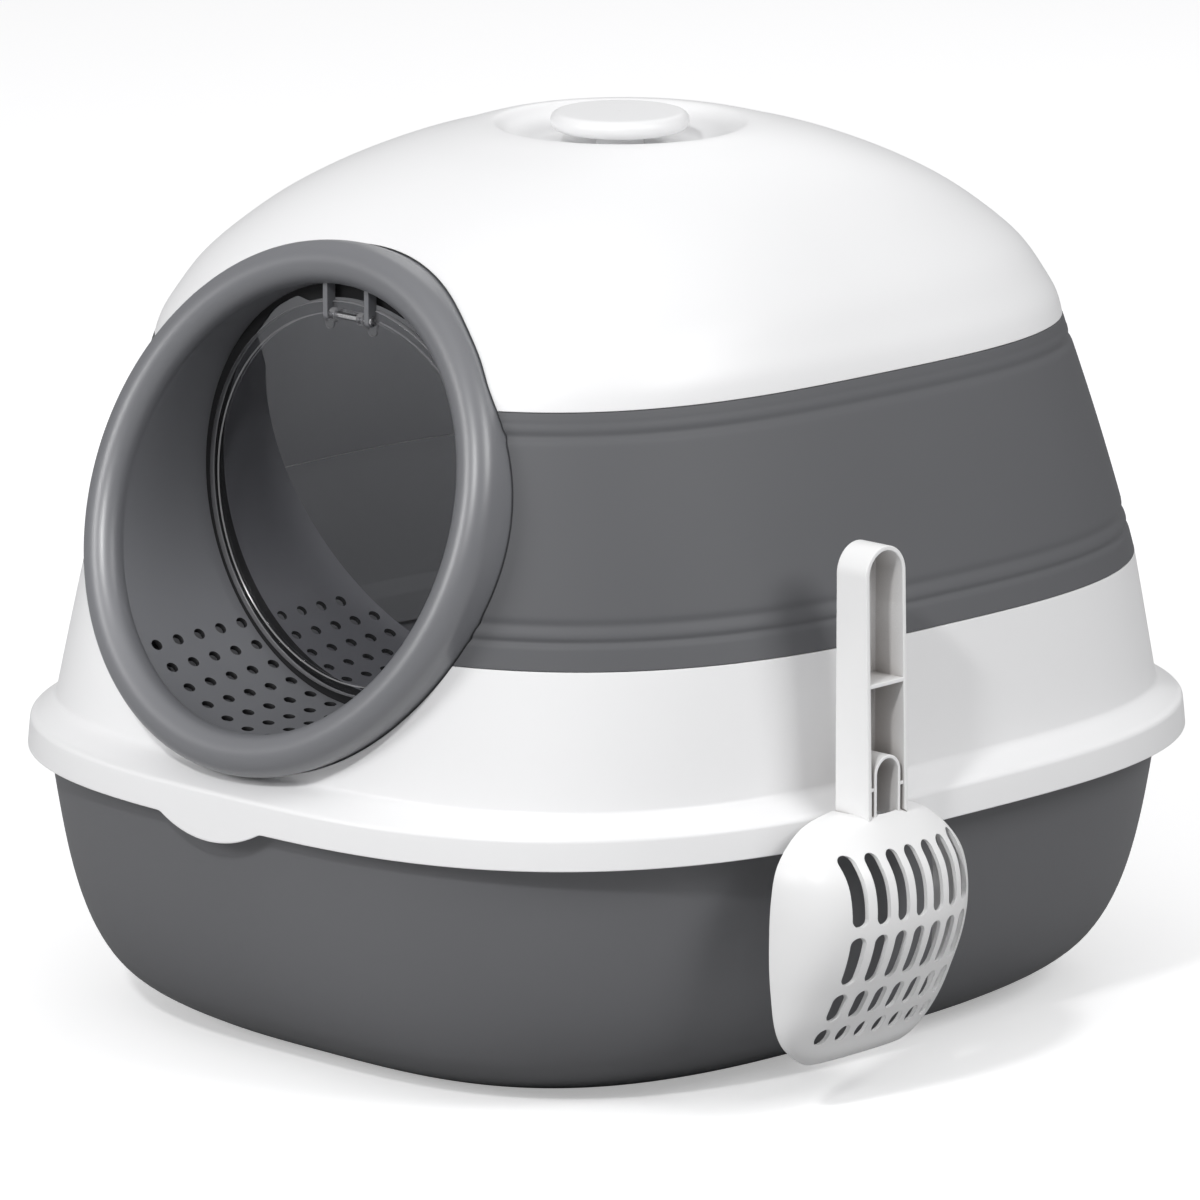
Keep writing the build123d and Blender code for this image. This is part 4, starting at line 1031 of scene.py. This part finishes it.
for j in range(-3, 4):
    y = SY + j * 11.8
    for z0, z1 in ((98.9, 131.0), (70.3, 94.2), (51.4, 65.6), (38.6, 47.1)):
        r = 3.65
        pts = arc(y, z1 - r, r, 0, 180, 12) + arc(y, z0 + r, r, 180, 360, 12)
        tools.append(prism(pts, "x", 238.9, 290.0))
slots = outward(raw("tool_slots", merge(*tools)))
room = outward(raw("tool_room", sweep(np.array([section(r) for r in (
    (112.0, 10.0, 10.0, 2.9, 0, K), (112.0, 242.9, 261.9, 2.91, 0, K), (126.0, 242.1, 261.1, 2.91, 0, K), (140.0, 240.9, 259.9, 2.91, 0, K),
    (141.8, 239.4, 258.4, 2.91, 0, K), (143.0, 236.6, 255.6, 2.91, 0, K), (143.2, 10.0, 10.0, 2.9, 0, K))]),
    first=(0, 0, 112.0), last=(0, 0, 143.2))))
scoop, nrm = carve(bowl, ("cut", slots), ("join", handle), ("join", arch), ("join", rib), ("join", web1), ("join", web2),
                   ("join", catch), ("cut", room))
done(scoop, "scoop_body", scoop_white, ("scoop",), nrm)

# hook on the skirt that the scoop hangs on
hook = raw("scoop_hook", prism([(231.5, 133.6), (243.0, 133.6), (243.0, 141.3), (240.6, 141.3), (240.6, 136.2), (231.5, 136.2)],
                               "y", SY - 7.0, SY + 7.0, 0.3))
outward(hook)
done(hook, "hood_body", white)

# ------------------------------------------------- CAD nodes that stay shown
for node in ("flap_hinge_pin", "knob_washer", "knob_screw"):
    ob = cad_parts[node]
    ob.data.materials.clear()
    ob.data.materials.append(steel)

# -------------------------------------------------------------------- floor
bm = bmesh.new()
n_ = 64
c = bm.verts.new((0, 0, 0))
ring_ = [bm.verts.new((16 * math.cos(TAU * i / n_), 16 * math.sin(TAU * i / n_), 0)) for i in range(n_)]
for i in range(n_):
    bm.faces.new((c, ring_[i], ring_[(i + 1) % n_]))
me = bpy.data.meshes.new("studio_floor")
bm.to_mesh(me)
bm.free()
floor = bpy.data.objects.new("studio_floor", me)
scene.collection.objects.link(floor)
m, nt, bsdf = material("floor_paper")
co = nt.nodes.new("ShaderNodeTexCoord")
nz = nt.nodes.new("ShaderNodeTexNoise")
nz.inputs["Scale"].default_value = 3.0
nt.links.new(co.outputs["Object"], nz.inputs["Vector"])
rp = nt.nodes.new("ShaderNodeValToRGB")
rp.color_ramp.elements[0].color = (0.89, 0.89, 0.893, 1)
rp.color_ramp.elements[1].color = (0.90, 0.90, 0.903, 1)
nt.links.new(nz.outputs["Fac"], rp.inputs["Fac"])
tone = nt.nodes.new("ShaderNodeMix")
tone.data_type = "RGBA"
tone.inputs["A"].default_value = (0.42, 0.42, 0.422, 1)
nt.links.new(rp.outputs["Color"], tone.inputs["B"])
nt.links.new(tone.outputs["Result"], bsdf.inputs["Base Color"])
bsdf.inputs["Roughness"].default_value = 0.9
bsdf.inputs["Specular IOR Level"].default_value = 0.1
bsdf.inputs["Emission Color"].default_value = (1, 1, 1, 1)
lp = nt.nodes.new("ShaderNodeLightPath")
gl = nt.nodes.new("ShaderNodeMath")
gl.operation = "MULTIPLY"
gl.inputs[1].default_value = 0.36
nt.links.new(lp.outputs["Is Camera Ray"], gl.inputs[0])
nt.links.new(lp.outputs["Is Camera Ray"], tone.inputs["Factor"])
nt.links.new(gl.outputs["Value"], bsdf.inputs["Emission Strength"])
me.materials.append(m)

# ------------------------------------------------------------------- lights
world = bpy.data.worlds.new("studio")
scene.world = world
world.use_nodes = True
wn = world.node_tree
bg = wn.nodes["Background"]
bg.inputs["Strength"].default_value = 1.0
sky = wn.nodes.new("ShaderNodeTexCoord")
up = wn.nodes.new("ShaderNodeSeparateXYZ")
wn.links.new(sky.outputs["Generated"], up.inputs["Vector"])
grade = wn.nodes.new("ShaderNodeValToRGB")
grade.color_ramp.elements[0].position = 0.0
grade.color_ramp.elements[0].color = (0.19, 0.19, 0.192, 1)
grade.color_ramp.elements[1].position = 1.0
grade.color_ramp.elements[1].color = (0.65, 0.65, 0.655, 1)
wn.links.new(up.outputs["Z"], grade.inputs["Fac"])
wn.links.new(grade.outputs["Color"], bg.inputs["Color"])
seen = wn.nodes.new("ShaderNodeBackground")
seen.inputs["Color"].default_value = (1, 1, 1, 1)
seen.inputs["Strength"].default_value = 1.05
lp = wn.nodes.new("ShaderNodeLightPath")
mx = wn.nodes.new("ShaderNodeMixShader")
wn.links.new(lp.outputs["Is Camera Ray"], mx.inputs["Fac"])
wn.links.new(bg.outputs["Background"], mx.inputs[1])
wn.links.new(seen.outputs["Background"], mx.inputs[2])
wn.links.new(mx.outputs["Shader"], wn.nodes["World Output"].inputs["Surface"])


def lamp(name, azimuth, elevation, distance, size, power, target=(0, 0, 0.2), shape="DISK", size_y=None):
    a, e = math.radians(azimuth), math.radians(elevation)
    back = Vector((math.sin(a) * math.cos(e), -math.cos(a) * math.cos(e), math.sin(e)))
    data = bpy.data.lights.new(name, "AREA")
    data.shape = shape
    data.size = size
    if size_y:
        data.size_y = size_y
    data.energy = power
    ob = bpy.data.objects.new(name, data)
    ob.location = Vector(target) + back * distance
    ob.rotation_mode = "QUATERNION"
    ob.rotation_quaternion = (-back).to_track_quat("-Z", "Y")
    scene.collection.objects.link(ob)
    return ob


lamp("key", 22.5, 37.0, 4.0, 0.34, 51.0)
lamp("left", -20.0, 22.0, 3.0, 0.8, 25.0, shape="SQUARE")
lamp("overhead", 22.0, 70.0, 2.1, 0.95, 0.9, shape="SQUARE")
lamp("side", 100.0, 36.0, 3.0, 1.1, 31.0, shape="SQUARE")
lamp("back", 212.0, 34.0, 3.2, 1.2, 6.0, shape="SQUARE")
spot = lamp("entry_spot", 24.0, 36.0, 3.0, 0.1, 100.0, target=(-0.074, -0.186, 0.202))
data = bpy.data.lights.new("entry_spot_cone", "SPOT")
data.energy = 170.0
data.spot_size = math.radians(2.7)
data.spot_blend = 1.0
data.shadow_soft_size = 0.04
old, spot.data = spot.data, data
bpy.data.lights.remove(old)
fill = lamp("inside_fill", 33.5, 5.7, 0.02, 0.12, 0.85, target=(0.05, 0.0, 0.32))
fill.visible_camera = False
fill.visible_glossy = False
fill.visible_transmission = False

# ------------------------------------------------------------------- camera
cam = bpy.data.objects.new("camera", bpy.data.cameras.new("camera"))
scene.collection.objects.link(cam)
scene.camera = cam
cam.data.sensor_width = 36.0
cam.data.lens = 9373.38 / 1200 * 36.0
cam.data.clip_end = 60.0
az, el = math.radians(43.5), math.radians(12.72)
cam.location = Vector((0, 0, 0.22743)) + Vector((math.sin(az) * math.cos(el), -math.cos(az) * math.cos(el), math.sin(el))) * 4.5
dn = el + math.atan(78.26 / 9373.38)
look = Vector((-math.sin(az) * math.cos(dn), math.cos(az) * math.cos(dn), -math.sin(dn)))
cam.rotation_mode = "QUATERNION"
cam.rotation_quaternion = look.to_track_quat("-Z", "Y")

scene.view_settings.view_transform = "Standard"
scene.view_settings.look = "None"
